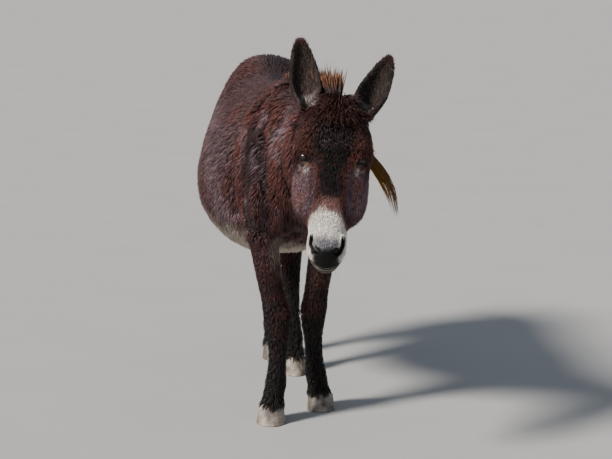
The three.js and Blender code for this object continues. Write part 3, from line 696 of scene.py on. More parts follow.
def body_colours(points, normals):
    """Trunk and neck: chest and top darker, partly painted shade, a near black line along the back, a pale
    belly.
    """
    place = points - SHIFT
    wide, y, z = folded(place).T
    up = normals[:, 2]
    colours = trunk_marks(filled(points, CHOCOLATE), points, place)
    colours = neck_marks(colours, points, place)
    # The chest's own dark brown, with painted shade under the head.
    chest = ramp(y, -0.42, -0.50) * ramp(z, 0.86, 0.74)
    colours = paint(colours, CHOCOLATE * 0.7, 0.6 * chest)
    # Painted shade on the upward-facing top, to damp the sun's sheen there.
    colours = paint(colours, CHOCOLATE * 0.7, 0.6 * ramp(up, 0.45, 0.8))
    back_line = ease(wide, 0.045) * ramp(up, 0.5, 0.9)
    colours = paint(colours, NEAR_BLACK, 0.6 * back_line)
    ragged = 0.05 * (cloud(points, 0.03, 11) - 0.5) + 0.06 * (cloud(points, 0.012, 13) - 0.5)
    under = ramp(z + ragged, 0.64, 0.575) * ramp(-up, -0.05, 0.2) * ramp(y, -0.34, -0.26)
    return paint(colours, PALE_BELLY, under)


# Half the width of the dark stripe and of the dark nose, down the face.
STRIPE_HALF = [(0.10, 0.055), (0.14, 0.042), (0.20, 0.034), (0.28, 0.024)]
DARK_NOSE_HALF = [(0.42, 0.016), (0.44, 0.032), (0.46, 0.036), (0.49, 0.032)]
# The pale spots below and behind the eyes: colour, amount, place and reach.
EYE_SPOTS = [
    (TAN, 0.9, (0.068, 0.050, 0.178), 0.014),
    (CREAM * 0.75, 0.85, (0.078, 0.040, 0.187), 0.020),
    (CREAM * 0.6, 0.6, (0.092, 0.020, 0.172), 0.014),
]
WHITE_EDGE = 0.026


def forehead_marks(colours, points, head_points):
    """Russet patches all over, and the dark forehead."""
    wide, y, z = folded(head_points).T
    colours = paint(colours, RUSSET * 0.8, ramp(cloud(points, 0.03, 23), 0.4, 0.7))
    return paint(colours, DARK_FACE, ramp(y, -0.01, 0.03) * ramp(z, 0.17, 0.10) * ramp(wide, 0.070, 0.035))


def cheek_marks(colours, points, head_points, ragged):
    """The flat of each cheek: grey with pinkish patches, and painted shade in streaks beside the nose."""
    wide, y, z = folded(head_points).T
    cheek = ramp(z + ragged, 0.165, 0.20) * ramp(z, 0.335, 0.285) * ramp(wide, 0.038, 0.052)
    cheek *= ramp(y, -0.055, -0.01)
    streaks = ramp(cloud(squeezed(points, 0.5), 0.010, 25), 0.2, 0.6)
    colours = paint(colours, CHEEK_GREY, cheek * (0.55 + 0.4 * streaks))
    tall = squeezed(points, 0.4)
    colours = paint(colours, CHEEK_PINK, 0.7 * cheek * ramp(cloud(tall, 0.018, 26), 0.45, 0.7))
    # Painted shade in streaks along the turn of the face beside the nose.
    crest_shadow = ease(np.abs(wide - 0.054), 0.015) * ramp(cloud(tall, 0.014, 22), 0.35, 0.65)
    return paint(colours, CHEEK_SHADOW, 0.7 * cheek * crest_shadow)


def brow_marks(colours, points, head_points):
    """Rusty brows, and dark red hair at the poll."""
    wide, y, z = folded(head_points).T
    brow = ramp(z, 0.165, 0.130) * ramp(z, 0.0, 0.08) * ramp(wide, 0.040, 0.065) * ramp(y, -0.03, 0.01)
    colours = paint(colours, RUST_BROW, 0.9 * brow * ramp(cloud(points, 0.012, 27), 0.25, 0.55))
    return paint(colours, MANE_RED * 0.5, 0.7 * ramp(z, 0.05, 0.0) * ramp(y, -0.06, 0.0))


def stripe_marks(colours, points, head_points, ragged):
    """The near black stripe down the face, russet edges, pink below it and painted grey glints above."""
    x, y, z = head_points.T
    wide = np.abs(x)
    front = ramp(y, -0.01, 0.03)
    half = profile(z, STRIPE_HALF)
    colours = paint(colours, CHEEK_PINK, 0.8 * ramp(z, 0.262, 0.288) * ramp(wide, 0.045, 0.020) * front)
    stripe = ramp(half - np.abs(x - 0.004) + ragged, -0.013, 0.012) * ramp(z + ragged, 0.292, 0.262)
    stripe *= 0.75 + 0.25 * ramp(cloud(points, 0.014, 24), 0.3, 0.6)
    colours = paint(colours, RUSSET, 0.6 * ease(np.abs(wide - half - 0.010), 0.014) * ramp(z, 0.15, 0.20))
    colours = paint(colours, NEAR_BLACK, stripe * ramp(y, 0.02, 0.04) * ramp(z, 0.08, 0.14))
    # Painted highlights: grey glints on the forehead's hair.
    glints = ramp(cloud(points, 0.005, 28), 0.6, 0.8) * ease(np.abs(z - 0.10), 0.05) * ramp(wide, 0.06, 0.02)
    return paint(colours, CHEEK_GREY, 0.7 * glints * front)


def muzzle_marks(colours, head_points, ragged):
    """The cream muzzle with its pinkish edge, grey low on its sides."""
    x, y, z = head_points.T
    wide = np.abs(x)
    white_from = 0.306 + 0.3 * x + 0.42 * np.maximum(0.045 - y, 0) + 0.8 * np.maximum(wide - 0.030, 0)
    pink = 0.7 * ramp(z + ragged, white_from - WHITE_EDGE, white_from) * (y > -0.03)
    colours = paint(colours, CHEEK_PINK, pink)
    white = ramp(z + ragged, white_from, white_from + WHITE_EDGE) * ramp(y, -0.09, -0.06)
    colours = paint(colours, CREAM, white)
    low_sides = ramp(z + ragged, 0.440, 0.475) * ramp(wide, 0.020, 0.034)
    return paint(colours, CHIN_GREY, 0.75 * low_sides)


def lip_level(z):
    """How high the line of the lips lies, for places down the muzzle."""
    return np.interp(z, [MOUTH_CORNER[1], MOUTH_FRONT[1]], [MOUTH_CORNER[0], MOUTH_FRONT[0]])


def nose_marks(colours, points, head_points):
    """The lilac-grey bridge of the nose, its dark end, and the nostrils: dark skin with painted shade."""
    wide, y, z = folded(head_points).T
    bridge = ramp(wide, 0.040, 0.028) * ramp(y, 0.008, 0.024)
    mottle = 0.012 * (cloud(points, 0.008, 29) - 0.5)
    colours = paint(colours, NOSE_LILAC, 0.9 * ramp(z + mottle, 0.384, 0.420) * bridge)
    half = profile(z, DARK_NOSE_HALF)
    dark = ramp(z + mottle, 0.418, 0.448) * ramp(half - wide + mottle, -0.010, 0.006)
    colours = paint(colours, NOSE_DARK, dark * ramp(y - lip_level(z), 0.001, 0.008))
    colours = paint(colours, NOSE_LILAC * 0.7, 0.85 * around_spot(head_points, NOSTRIL_HOLLOW, 0.019))
    # The nostrils' dark skin, with painted shade inside the slits.
    slit = nostril_gap(head_points) - 0.008 - 0.005 * ramp(z, 0.405, 0.440)
    return paint(colours, NOSE_DARK * 0.4, ease(slit, 0.005))


def mouth_marks(colours, head_points):
    """The chin, grey with painted shade; its paler edge, partly painted highlight; painted shade where lips
    meet.
    """
    wide, y, z = folded(head_points).T
    lips = mouth_gap(head_points)
    # The chin painted dark grey, partly as painted shade under the muzzle.
    chin = ramp(z, 0.440, 0.465) * ramp(y - lip_level(z), 0.003, -0.003)
    colours = paint(colours, CHIN_GREY, 0.9 * chin)
    # A paler edge on the lower lip, partly a painted highlight.
    pale = 0.4 * ease(np.abs(lips - 0.006), 0.003) * ramp(wide, 0.034, 0.024) * chin
    colours = paint(colours, CREAM * 0.5, pale)
    # Painted shade along the line where the lips meet.
    return paint(colours, NEAR_BLACK, ease(lips - 0.001, 0.004) * ramp(z, 0.43, 0.45))


def head_colours(points):
    """The head: dark forehead and stripe, rusty brows, grey cheeks, pale eye spots and muzzle."""
    head_points = in_head(points)
    ragged = 0.02 * (cloud(points, 0.012, 21) - 0.5)
    colours = forehead_marks(filled(points, CHOCOLATE * 0.65), points, head_points)
    colours = cheek_marks(colours, points, head_points, ragged)
    colours = brow_marks(colours, points, head_points)
    colours = stripe_marks(colours, points, head_points, ragged)
    for colour, amount, spot, reach in EYE_SPOTS:
        colours = paint(colours, colour, amount * around_spot(head_points, spot, reach))
    colours = muzzle_marks(colours, head_points, ragged)
    colours = nose_marks(colours, points, head_points)
    colours = mouth_marks(colours, head_points)
    # Near black round each eye: the dark lid margins, with painted shade of the lids and lashes.
    return paint(colours, NEAR_BLACK, ease(lid_edge(points) - 0.0042, 0.004))


def leg_colours(points, normals):
    """The legs: near black below, reddish at the knees, pale on the inner side above them."""
    x, _, z = (points - SHIFT).T
    inner = ramp(-normals[:, 0] * np.sign(x), 0.1, 0.6)
    colours = paint(filled(points, CHOCOLATE * 1.15), DARK_LEG, ramp(z, 0.58, 0.36))
    colours = paint(colours, KNEE_RED, 0.55 * ramp(cloud(points, 0.03, 31), 0.4, 0.7) * ramp(z, 0.16, 0.34))
    colours = paint(colours, KNEE_RED * 1.2, 0.5 * ease(np.abs(z - 0.40), 0.10) * inner)
    colours = paint(colours, NEAR_BLACK, 0.6 * ramp(z, 0.34, 0.20) * ramp(cloud(points, 0.02, 33), 0.2, 0.5))
    ragged = 0.10 * (cloud(points, 0.03, 35) - 0.5)
    colours = paint(colours, PALE_BELLY * 0.8, 0.55 * inner * ramp(z + ragged, 0.46, 0.56))
    return paint(colours, GREY_ENDS_AND_SHEEN, 0.35 * ease(np.abs(z - 0.05), 0.02))


def ear_colours(points, normals):
    """The ears: brown rims, dark backs, brown-grey lining hair, rusty tips and a pale patch low inside."""
    place, way, _ = ear_places(points)
    facing = (normals * way).sum(1)
    inside = ramp(-facing, 0.0, 0.5)
    colours = paint(filled(points, CHOCOLATE * 0.8), EAR_DARK, ramp(place, 0.1, 0.4))
    lining = inside * ramp(cloud(squeezed(points, 0.25), 0.006, 41), 0.25, 0.7)
    colours = paint(colours, EAR_LINING, 0.6 * lining * ramp(place, 1.0, 0.7))
    pale = inside * ease(np.abs(place - 0.17), 0.10) * ramp(cloud(points, 0.008, 43), 0.35, 0.65)
    colours = paint(colours, CREAM * 0.8, 0.4 * pale)
    rim = ease(np.abs(facing), 0.35)
    colours = paint(colours, EAR_RIM, 0.7 * rim * ramp(place, 0.15, 0.3))
    return paint(colours, RUST_BROW * 0.6, 0.7 * ramp(place, 0.84, 0.95))


def markings(points, normals, shares):
    """The coat's colours at places on the skin."""
    kinds = {
        "trunk": body_colours(points, normals),
        "head": head_colours(points),
        "leg": leg_colours(points, normals),
        "ear": ear_colours(points, normals),
    }
    kinds["neck"] = kinds["trunk"]
    kinds["dock"] = paint(kinds["trunk"], TAIL_DARK, np.full(len(points), 0.7))
    return sum(shares[:, [i]] * kinds[kind] for i, kind in enumerate(KINDS))


def bareness(points, shares):
    """1 where the skin has next to no hair: the nose, the nostrils, the lips and the lids' edges."""
    head_points = in_head(points)
    wide, y, z = folded(head_points).T
    bare_places = [
        ramp(z, 0.415, 0.435) * ramp(y, 0.006, 0.02) * ramp(wide, 0.044, 0.036),
        ease(nostril_gap(head_points) - 0.009, 0.006),
        around_spot(head_points, NOSTRIL_HOLLOW, 0.016),
        ease(mouth_gap(head_points) - 0.009, 0.005) * ramp(z, 0.42, 0.44),
        ease(lid_edge(points) - 0.0035, 0.003),
    ]
    return np.clip(np.maximum.reduce(bare_places), 0, 1) * share_of(shares, "head")


# ---------------------------------------------------------------- the lie of the coat
def tousled(head_points, shares):
    """1 on the forehead, brows and poll, where the hair stands in a tangle."""
    _, y, z = head_points.T
    return share_of(shares, "head") * ramp(z, 0.15, 0.10) * ramp(y, -0.04, 0.02)


def tail_ways(points):
    """The way the tail runs at the places nearest to these points."""
    line = tail_line(np.linspace(0.0, SWITCH_FROM, 24))
    nearest = ((points[:, None] - line) ** 2).sum(2).argmin(1)
    return unit(np.gradient(line, axis=0))[nearest]


def lie(points, normals, shares):
    """The way the hair lies at places on the skin, in the surface."""
    head_points = in_head(points)
    body = filled(points, [0, 0.5, -0.85])
    cheek = ramp(head_points[:, 1], 0.02, -0.05)
    down_face = np.ones(len(points)) * 0.9
    face = np.column_stack([2.5 * head_points[:, 0] * (1 - cheek), -0.9 * cheek, down_face])
    ways = {
        "trunk": body,
        "neck": body,
        "head": unit(face) @ HEAD_TURN.T,
        "leg": filled(points, [0, 0.12, -1.0]),
        "ear": ear_places(points)[2],
        "dock": tail_ways(points),
    }
    way = sum(shares[:, [i]] * ways[kind] for i, kind in enumerate(KINDS))
    swirl = np.stack([cloud(points, 0.06, 51 + k) - 0.5 for k in range(3)], 1)
    return across(unit(way) + swirl * (0.16 + 0.8 * tousled(head_points, shares))[:, None], normals)


# Hair length and lock width in millimetres, and locks to a square metre, for each kind of flesh.
HAIR_LENGTH = {"trunk": 42, "neck": 42, "head": 17, "ear": 14, "leg": 19, "dock": 30}
# How much longer the hair is in some places.
LONGER = {
    "forehead": 17,
    "brow": 15,
    "poll": 34,
    "jowl": 14,
    "muzzle": -6.5,
    "bridge": -3,
    "belly": 12,
    "over_legs": -22,
    "upper_leg": 8,
    "fetlock": 14,
    "in_ear": 16,
}
LOCK_WIDTH = {"trunk": 3.4, "neck": 3.4, "head": 1.9, "ear": 1.7, "leg": 2.4, "dock": 3}
LOCKS = {"trunk": 34000, "neck": 34000, "head": 120000, "ear": 100000, "leg": 62000, "dock": 40000}
FOREHEAD_THINNED = 0.55  # the share of locks left out there, where they are thick and tangled


def hair_length(points, normals, shares):
    """How long the hair is at places on the skin, in metres."""
    _, y, z = (points - SHIFT).T
    wide, out, down = folded(in_head(points)).T
    head, ear, leg = (share_of(shares, kind) for kind in ("head", "ear", "leg"))
    length = by_kind(shares, HAIR_LENGTH)
    forehead = ramp(down, 0.145, 0.09) * ramp(out, -0.03, 0.02)
    jowl = ramp(out, -0.02, -0.07) * ramp(down, 0.36, 0.30)
    muzzle = ramp(down, 0.29, 0.40)
    bridge = ramp(out, 0.02, 0.05) * ramp(down, 0.15, 0.19)
    brow = ease(np.abs(down - 0.122), 0.035) * ramp(wide, 0.045, 0.07)
    poll = ramp(down, 0.03, -0.02)
    long_face = [LONGER["forehead"] * forehead, LONGER["brow"] * brow, LONGER["poll"] * poll]
    face = np.maximum.reduce(long_face) + LONGER["jowl"] * jowl + LONGER["muzzle"] * muzzle
    length += head * (face + LONGER["bridge"] * bridge * (1 - muzzle))
    body = 1 - head - ear - leg
    length += body * LONGER["belly"] * ramp(-normals[:, 2], 0.3, 0.8)
    over_legs = np.maximum(ease(np.abs(y + 0.40) - 0.08, 0.08), ease(np.abs(y - 0.40) - 0.12, 0.10))
    length += body * LONGER["over_legs"] * over_legs * ramp(z, 0.76, 0.66)
    fetlock = ease(np.abs(z - 0.09), 0.045) * ramp(normals[:, 1], 0.1, 0.7)
    length += leg * (LONGER["upper_leg"] * ramp(z, 0.45, 0.62) + LONGER["fetlock"] * fetlock)
    place, way, _ = ear_places(points)
    inside = ramp(-(normals * way).sum(1), 0.0, 0.5)
    length += ear * inside * (LONGER["in_ear"] * ramp(place, 0.6, 0.2))
    return length * MM


def scattered(mesh, shares, random):
    """Roots strewn over the skin: triangle corners and how far each root leans to each corner."""
    mesh.calc_loop_triangles()
    corners = numbers(mesh.loop_triangles, "vertices", 3, np.int32)
    loops = numbers(mesh.loop_triangles, "loops", 3, np.int32)
    points = points_of(mesh)
    a, b, c = (points[corners[:, k]] for k in range(3))
    area = np.linalg.norm(np.cross(b - a, c - a), axis=1) / 2
    middle = (a + b + c) / 3
    share = shares[corners].mean(1)
    wanted = area * by_kind(share, LOCKS) * (1 - bareness(middle, share))
    forehead = share_of(share, "head") * ramp(in_head(middle)[:, 2], 0.13, 0.08)
    wanted *= 1 - FOREHEAD_THINNED * forehead
    count = int(wanted.sum())
    picked = random.choice(len(wanted), count, p=wanted / wanted.sum())
    lean = random.random((count, 2))
    over = lean.sum(1) > 1
    lean[over] = 1 - lean[over]
    lean = np.column_stack([1 - lean.sum(1), lean])
    return corners[picked], loops[picked], lean


def mixed(values, picked, lean):
    """Values at the roots, mixed from those at the corners round them."""
    return (values[picked] * lean[..., None]).sum(1)


# ---------------------------------------------------------------- locks of hair as solid mesh
ROOT_UNDER = 1.5 * MM
PATCH = 0.003  # how much of the unwrap one lock takes
LOCK_THICK = 0.28  # of its width


def lock_faces(rings):
    """One lock's faces: a root, three long sides and a point."""
    faces = [(0, 1, 2)]
    for ring in range(rings - 1):
        low, high = 3 * ring, 3 * ring + 3
        faces += [(low, high, high + 1, low + 1), (low + 1, high + 1, high + 2, low + 2)]
        faces += [(low + 2, high + 2, high, low)]
    low, tip = 3 * rings - 3, 3 * rings
    return faces + [(low, tip, low + 1), (low + 1, tip, low + 2), (low + 2, tip, low)]


def lock_points(paths, widths, ups):
    """Every lock's points: three to a ring along its path, then its tip."""
    ways = unit(np.gradient(paths, axis=1))
    sides = unit(np.cross(ways, ups[:, None]))
    tops = np.cross(sides, ways)
    half = (widths / 2)[..., None]
    corners = [paths - sides * half, paths + sides * half, paths + tops * half * 2 * LOCK_THICK]
    rings = np.stack(corners, 2)
    count = len(paths)
    return np.concatenate([rings[:, :-1].reshape(count, -1, 3), paths[:, -1:]], 1)


def lock_mesh(name, points, colours, places):
    """A closed mesh of many locks, with their colours and their patches of the unwrap."""
    count, size = points.shape[:2]
    rings = (size - 1) // 3
    faces = lock_faces(rings)
    corners = np.array([i for face in faces for i in face])
    mesh = bpy.data.meshes.new(name)
    mesh.vertices.add(count * size)
    mesh.vertices.foreach_set("co", points.astype(np.float32).ravel())
    loops = (corners + size * np.arange(count)[:, None]).ravel()
    mesh.loops.add(len(loops))
    mesh.loops.foreach_set("vertex_index", loops.astype(np.int32))
    sizes = np.tile([len(face) for face in faces], count)
    mesh.polygons.add(len(sizes))
    mesh.polygons.foreach_set("loop_start", np.concatenate([[0], np.cumsum(sizes)[:-1]]).astype(np.int32))
    smoothed(mesh)
    layer = mesh.uv_layers.new(name="OFBake")
    unwrap = (places[:, None] + lock_patch(rings))[:, corners].reshape(-1, 2)
    layer.data.foreach_set("uv", unwrap.astype(np.float32).ravel())
    keep_colours(mesh, colours.reshape(-1, 3))
    mesh.update()
    mesh.validate()
    return mesh


def lock_patch(rings):
    """Where a lock's points lie on its own small patch of the unwrap."""
    level = np.append(np.repeat(np.arange(rings), 3), rings) / rings - 0.5
    aside = np.append(np.tile([-0.5, 0.5, 0], rings), 0)
    return np.column_stack([aside, level]) * PATCH


def by_ring(levels):
    """Colours for each of a lock's points, from one for each ring and one for the tip."""
    return np.stack([level for level in levels[:-1] for _ in range(3)] + [levels[-1]], 1)


def piece_of_locks(name, paths, widths, ups, colours, places):
    """One object of many locks."""
    return new_object(name, lock_mesh(name, lock_points(paths, widths, ups), colours, places))


def smoothed(mesh):
    """Shades every face of a mesh as part of a curve."""
    mesh.polygons.foreach_set("use_smooth", np.ones(len(mesh.polygons), bool))


def keep_colours(mesh, colours):
    """The coat's colours on a mesh's points, for its material to read."""
    layer = mesh.color_attributes.new("coat", "FLOAT_COLOR", "POINT")
    full = np.column_stack([np.clip(colours, 0, 1), np.ones(len(colours))])
    layer.data.foreach_set("color", full.astype(np.float32).ravel())


# ---------------------------------------------------------------- the coat
MOST_LOCKS = 19000  # in one piece of the coat
CLUMP = 6  # locks drawn together
CLUMP_PULL = 0.2
CLUMP_SQUASH = 0.45  # clumps are longer down the body than across
STRAY = 0.09  # how far locks turn aside from the lie
KNEE_UP = 0.335
# The least and most of each lock's measures, as shares of what its place asks for.
LENGTHS = (0.65, 1.2)
WIDTHS = (0.7, 1.25)
HEIGHTS = (0.55, 1.0)
TONE = 0.36  # how far locks differ in lightness
WARMTH = np.array([0.10, 0.0, -0.08])  # how far they differ in red and blue
# Painted shade on each lock's root, deep in the coat, and a painted highlight on its tip.
ROOT_PAINTED_SHADE = 0.5
TIP_PAINTED_HIGHLIGHT = 1.25


def clumps(roots, random):
    """For each root, the number of the middle lock of its clump."""
    middles = random.choice(len(roots), len(roots) // CLUMP, replace=False)
    places = squeezed(roots, CLUMP_SQUASH)
    tree = KDTree(len(middles))
    for number, middle in enumerate(middles):
        tree.insert(places[middle], number)
    tree.balance()
    return middles[[tree.find(place)[1] for place in places]]


def lock_sizes(roots, normals, kinds, tangle, random):
    """Each lock's length and width, and how high its tip stands over the skin."""
    count = len(roots)
    leg = share_of(kinds, "leg")
    knee = leg * ease(np.abs(roots[:, 2] - KNEE_UP), 0.06) * ramp(-roots[:, 1], 0.2, 0.3)
    coronet = leg * ramp(roots[:, 2], 0.095, 0.070)
    length = hair_length(roots, normals, kinds) * random.uniform(*LENGTHS, count)
    width = (by_kind(kinds, LOCK_WIDTH) + 0.9 * tangle) * MM * random.uniform(*WIDTHS, count)
    height = depth_of_coat(roots, kinds) * random.uniform(*HEIGHTS, count) * (1 + 0.35 * tangle)
    height *= 1 + 0.8 * knee
    height *= 1 + 1.1 * coronet
    length *= 1 + 0.5 * coronet
    return length, width, height


def coat_paths(roots, normals, ways, sizes, tangle, middles, random):
    """Each lock's path, from under the skin to its tip, with the tip drawn to its clump's middle lock."""
    length, _, height = sizes
    middle = roots + ways * (length * 0.5)[:, None] + normals * (height * 0.72)[:, None]
    tips = roots + ways * length[:, None] + normals * height[:, None]
    pull = CLUMP_PULL * random.uniform(0.5, 1.2, len(roots))[:, None]
    to_clump = tips[middles] - tips
    to_clump -= normals * (to_clump * normals).sum(1, keepdims=True)
    to_clump *= 1 - 0.6 * tangle[:, None]
    far = np.linalg.norm(to_clump, axis=1, keepdims=True)
    to_clump *= np.minimum(1, 0.6 * length[:, None] / np.maximum(far, 1e-6))
    tips += pull * to_clump
    middle += 0.35 * pull * to_clump
    return np.stack([roots - normals * ROOT_UNDER, middle, tips], 1)


def make_coat(mesh, shares, unwrap):
    """The coat's pieces: locks strewn over the skin, lying along it, clumped and ragged at the tips."""
    random = np.random.default_rng(7)
    picked, loops, lean = scattered(mesh, shares, random)
    roots = mixed(points_of(mesh), picked, lean)
    normals = unit(mixed(normals_of(mesh, 2), picked, lean))
    kinds = mixed(shares, picked, lean)
    places = mixed(unwrap, loops, lean)
    ways = lie(roots, normals, kinds)
    tangle = tousled(in_head(roots), kinds)
    sizes = lock_sizes(roots, normals, kinds, tangle, random)
    stray = random.normal(0, STRAY, len(roots)) * (1 + 4 * tangle)
    ways = unit(ways + np.cross(ways, normals) * stray[:, None])
    middles = clumps(roots, random)
    paths = coat_paths(roots, normals, ways, sizes, tangle, middles, random)
    width = sizes[1]
    points = lock_points(paths, np.stack([width * 0.8, width, width * 0], 1), normals)
    muzzle = share_of(kinds, "head") * ramp(in_head(roots)[:, 2], 0.28, 0.33)
    tone = clump_tone(random, len(roots), middles) * (1 - 0.6 * muzzle)
    colours = lock_colours(markings(roots, normals, kinds), tone, random)
    order = np.lexsort((roots[:, 1], kinds.argmax(1)))
    pieces = math.ceil(len(roots) / MOST_LOCKS)
    for number, chosen in enumerate(np.array_split(order, pieces), 1):
        form = lock_mesh(f"coat_{number}", points[chosen], colours[chosen], places[chosen])
        yield new_object(f"coat_{number}", form)


def clump_tone(random, count, middles):
    """How light each lock is: its clump's tone with a little of its own."""
    own = random.uniform(-1, 1, count)
    return 0.5 * own[middles] + 0.6 * random.uniform(-1, 1, count)


def lock_colours(colours, tone, random):
    """Each lock's colours: painted shade at its root, its middle, and a tip lighter as painted highlight."""
    light = np.exp(TONE * tone)[:, None]
    warm = random.uniform(-1, 1, (len(tone), 1)) * WARMTH + 1
    body = colours * light * warm
    # Grey hair ends with painted glints on the lighter locks of dark hair.
    grey_ends_and_glint = paint(body, GREY_ENDS_AND_SHEEN, np.maximum(tone - 0.35, 0) * 0.5 * (colours.mean(1) < 0.2))
    tips = np.maximum(grey_ends_and_glint, body * TIP_PAINTED_HIGHLIGHT)
    return np.clip(by_ring([body * ROOT_PAINTED_SHADE, body, tips]), 0, 1)


def unwrapped(skin):
    """The skin's own unwrap, one place for each corner of its faces."""
    skin.data.uv_layers.new(name="OFBake")
    bpy.context.view_layer.objects.active = skin
    skin.select_set(True)
    bpy.ops.object.mode_set(mode="EDIT")
    bpy.ops.mesh.select_all(action="SELECT")
    bpy.ops.uv.smart_project(angle_limit=math.radians(66), island_margin=0.002)
    bpy.ops.object.mode_set(mode="OBJECT")
    skin.select_set(False)
    return numbers(skin.data.uv_layers["OFBake"].data, "uv", 2)


# ---------------------------------------------------------------- mane
# The mane's height and half thickness along the neck, from the withers to between the ears.
MANE_AT = np.array([-0.030, 0.060, 0.200, 0.340, 0.430, 0.490, 0.525])
MANE_TALL = np.array([0.006, 0.030, 0.064, 0.102, 0.128, 0.112, 0.066])
MANE_HALF = np.array([0.014, 0.018, 0.022, 0.026, 0.030, 0.030, 0.022])
MANE_LOCKS = 3000
MANE_SPIKES = 90  # bundles the locks draw into
MANE_RINGS = 4
MANE_WIDTHS = [0.9, 1, 0.85, 0.6, 0]  # a lock's width along it, as a share
SPIKE_WIDE = 0.018
SPIKE_LENGTHS = (0.78, 1.06)
SPIKE_LEAN = 0.16
SPIKE_DRAW = 0.02  # the furthest that a lock is drawn to its spike
MANE_LEAN = 0.19  # to the sides, at the edges
MANE_RAGGED = (0.62, 1.0)
MANE_LOCK_WIDE = (3.0, 5.5)  # millimetres


def crest_ways():
    """The way up the neck, the way across it to the left, and the way up out of the crest."""
    way = (NECK_TO - NECK_FROM) / np.linalg.norm(NECK_TO - NECK_FROM)
    side = np.cross([0, 0, 1], way)
    side /= np.linalg.norm(side)
    return way, side, np.cross(way, side)


def in_spikes(at, aside, random):
    """For each lock's spike: its length, its lean along the neck, and how far the lock is drawn to it."""
    spike_at = random.uniform(MANE_AT[0], MANE_AT[-1], MANE_SPIKES)
    spike_aside = random.uniform(-1, 1, MANE_SPIKES)
    away = np.hypot(at[:, None] - spike_at, SPIKE_WIDE * (aside[:, None] - spike_aside))
    spike = away.argmin(1)
    length = random.uniform(*SPIKE_LENGTHS, MANE_SPIKES)[spike]
    lean = random.normal(0, SPIKE_LEAN, MANE_SPIKES)[spike]
    drawn = np.clip(spike_at[spike] - at, -SPIKE_DRAW, SPIKE_DRAW) / 0.10
    return length, lean, drawn


def mane_colours(at, aside, random):
    """Dark roots, red lengths, and golden tips towards the head."""
    tuft = cloud(np.column_stack([at, at * 0, aside * 0.012]), 0.022, 61)
    tone = np.exp(0.4 * random.uniform(-1, 1, MANE_LOCKS) + 0.6 * (tuft - 0.5))[:, None]
    gold = random.uniform(0, 1, MANE_LOCKS) ** 1.6 * ramp(at, 0.15, 0.40)
    high = paint(MANE_RED * tone, MANE_GOLD, 0.3 * gold)
    tips = paint(MANE_RED * tone * 1.2, MANE_GOLD, gold)
    return by_ring([MANE_ROOT * tone * 0.6, MANE_ROOT * tone * 0.8, MANE_ROOT * tone * 1.3, high, tips])


def make_mane(tree, surface_places):
    """The upright mane: stiff locks along the crest, drawn into spikes, fanned out and ragged at the top."""
    random = np.random.default_rng(11)
    way, side, up = crest_ways()
    at = random.uniform(MANE_AT[0], MANE_AT[-1], MANE_LOCKS)
    aside = random.uniform(-1, 1, MANE_LOCKS)
    spike_length, spike_lean, drawn = in_spikes(at, aside, random)
    half = np.interp(at, MANE_AT, MANE_HALF)
    below = NECK_FROM + at[:, None] * way + (aside * half * 0.75)[:, None] * side
    hits = [tree.ray_cast(Vector(p + up * 0.5), Vector(-up)) for p in below]
    roots = np.array([hit[0] if hit[0] else p for hit, p in zip(hits, below)])
    tall = np.interp(at, MANE_AT, MANE_TALL) * spike_length + COAT_DEPTH["neck"] * MM
    length = (tall * random.uniform(*MANE_RAGGED, MANE_LOCKS) ** 0.8)[:, None, None]
    lean = (MANE_LEAN * aside)[:, None] * side + (0.6 * drawn + spike_lean)[:, None] * way
    ways = unit(up + lean + random.normal(0, 0.06, (MANE_LOCKS, 3)))[:, None]
    bend = random.normal(0, 0.05, (MANE_LOCKS, 3))[:, None]
    steps = np.linspace(0, 1, MANE_RINGS + 1)[None, :, None]
    paths = roots[:, None] - ways * 0.004 + ways * steps * length
    paths += bend * steps**2 * length
    width = random.uniform(*MANE_LOCK_WIDE, MANE_LOCKS) * MM
    ups = unit(np.tile(way, (MANE_LOCKS, 1)) + random.normal(0, 0.6, (MANE_LOCKS, 3)))
    colours = mane_colours(at, aside, random)
    widths = width[:, None] * np.array(MANE_WIDTHS)
    return piece_of_locks("mane_locks", paths, widths, ups, colours, surface_places(roots))


# ---------------------------------------------------------------- forelock
FORELOCK_LOCKS = 700
FORELOCK_MIDDLE = 0.014  # to the left of the head's middle
FORELOCK_HALF = 0.020
FORELOCK_WIDTHS = [0.9, 1, 0.7, 0]
FORELOCK_LONG = (0.036, 0.072)
FORELOCK_LOCK_WIDE = (2.2, 4.0)  # millimetres


def forelock_roots(tree, random):
    """Roots on the poll, with how far aside and how far down the face each one is."""
    x = random.normal(FORELOCK_MIDDLE, FORELOCK_HALF, FORELOCK_LOCKS)
    z = random.uniform(-0.050, 0.035, FORELOCK_LOCKS)
    above = from_head(np.column_stack([x, np.full(FORELOCK_LOCKS, 0.30), z]))
    hits = [tree.ray_cast(Vector(p), Vector(-HEAD_TURN[:, 1])) for p in above]
    kept = np.array([hit[0] is not None for hit in hits])
    roots = np.array([hit[0] for hit in hits if hit[0]])
    return roots, (x[kept] - FORELOCK_MIDDLE) / FORELOCK_HALF, z[kept]


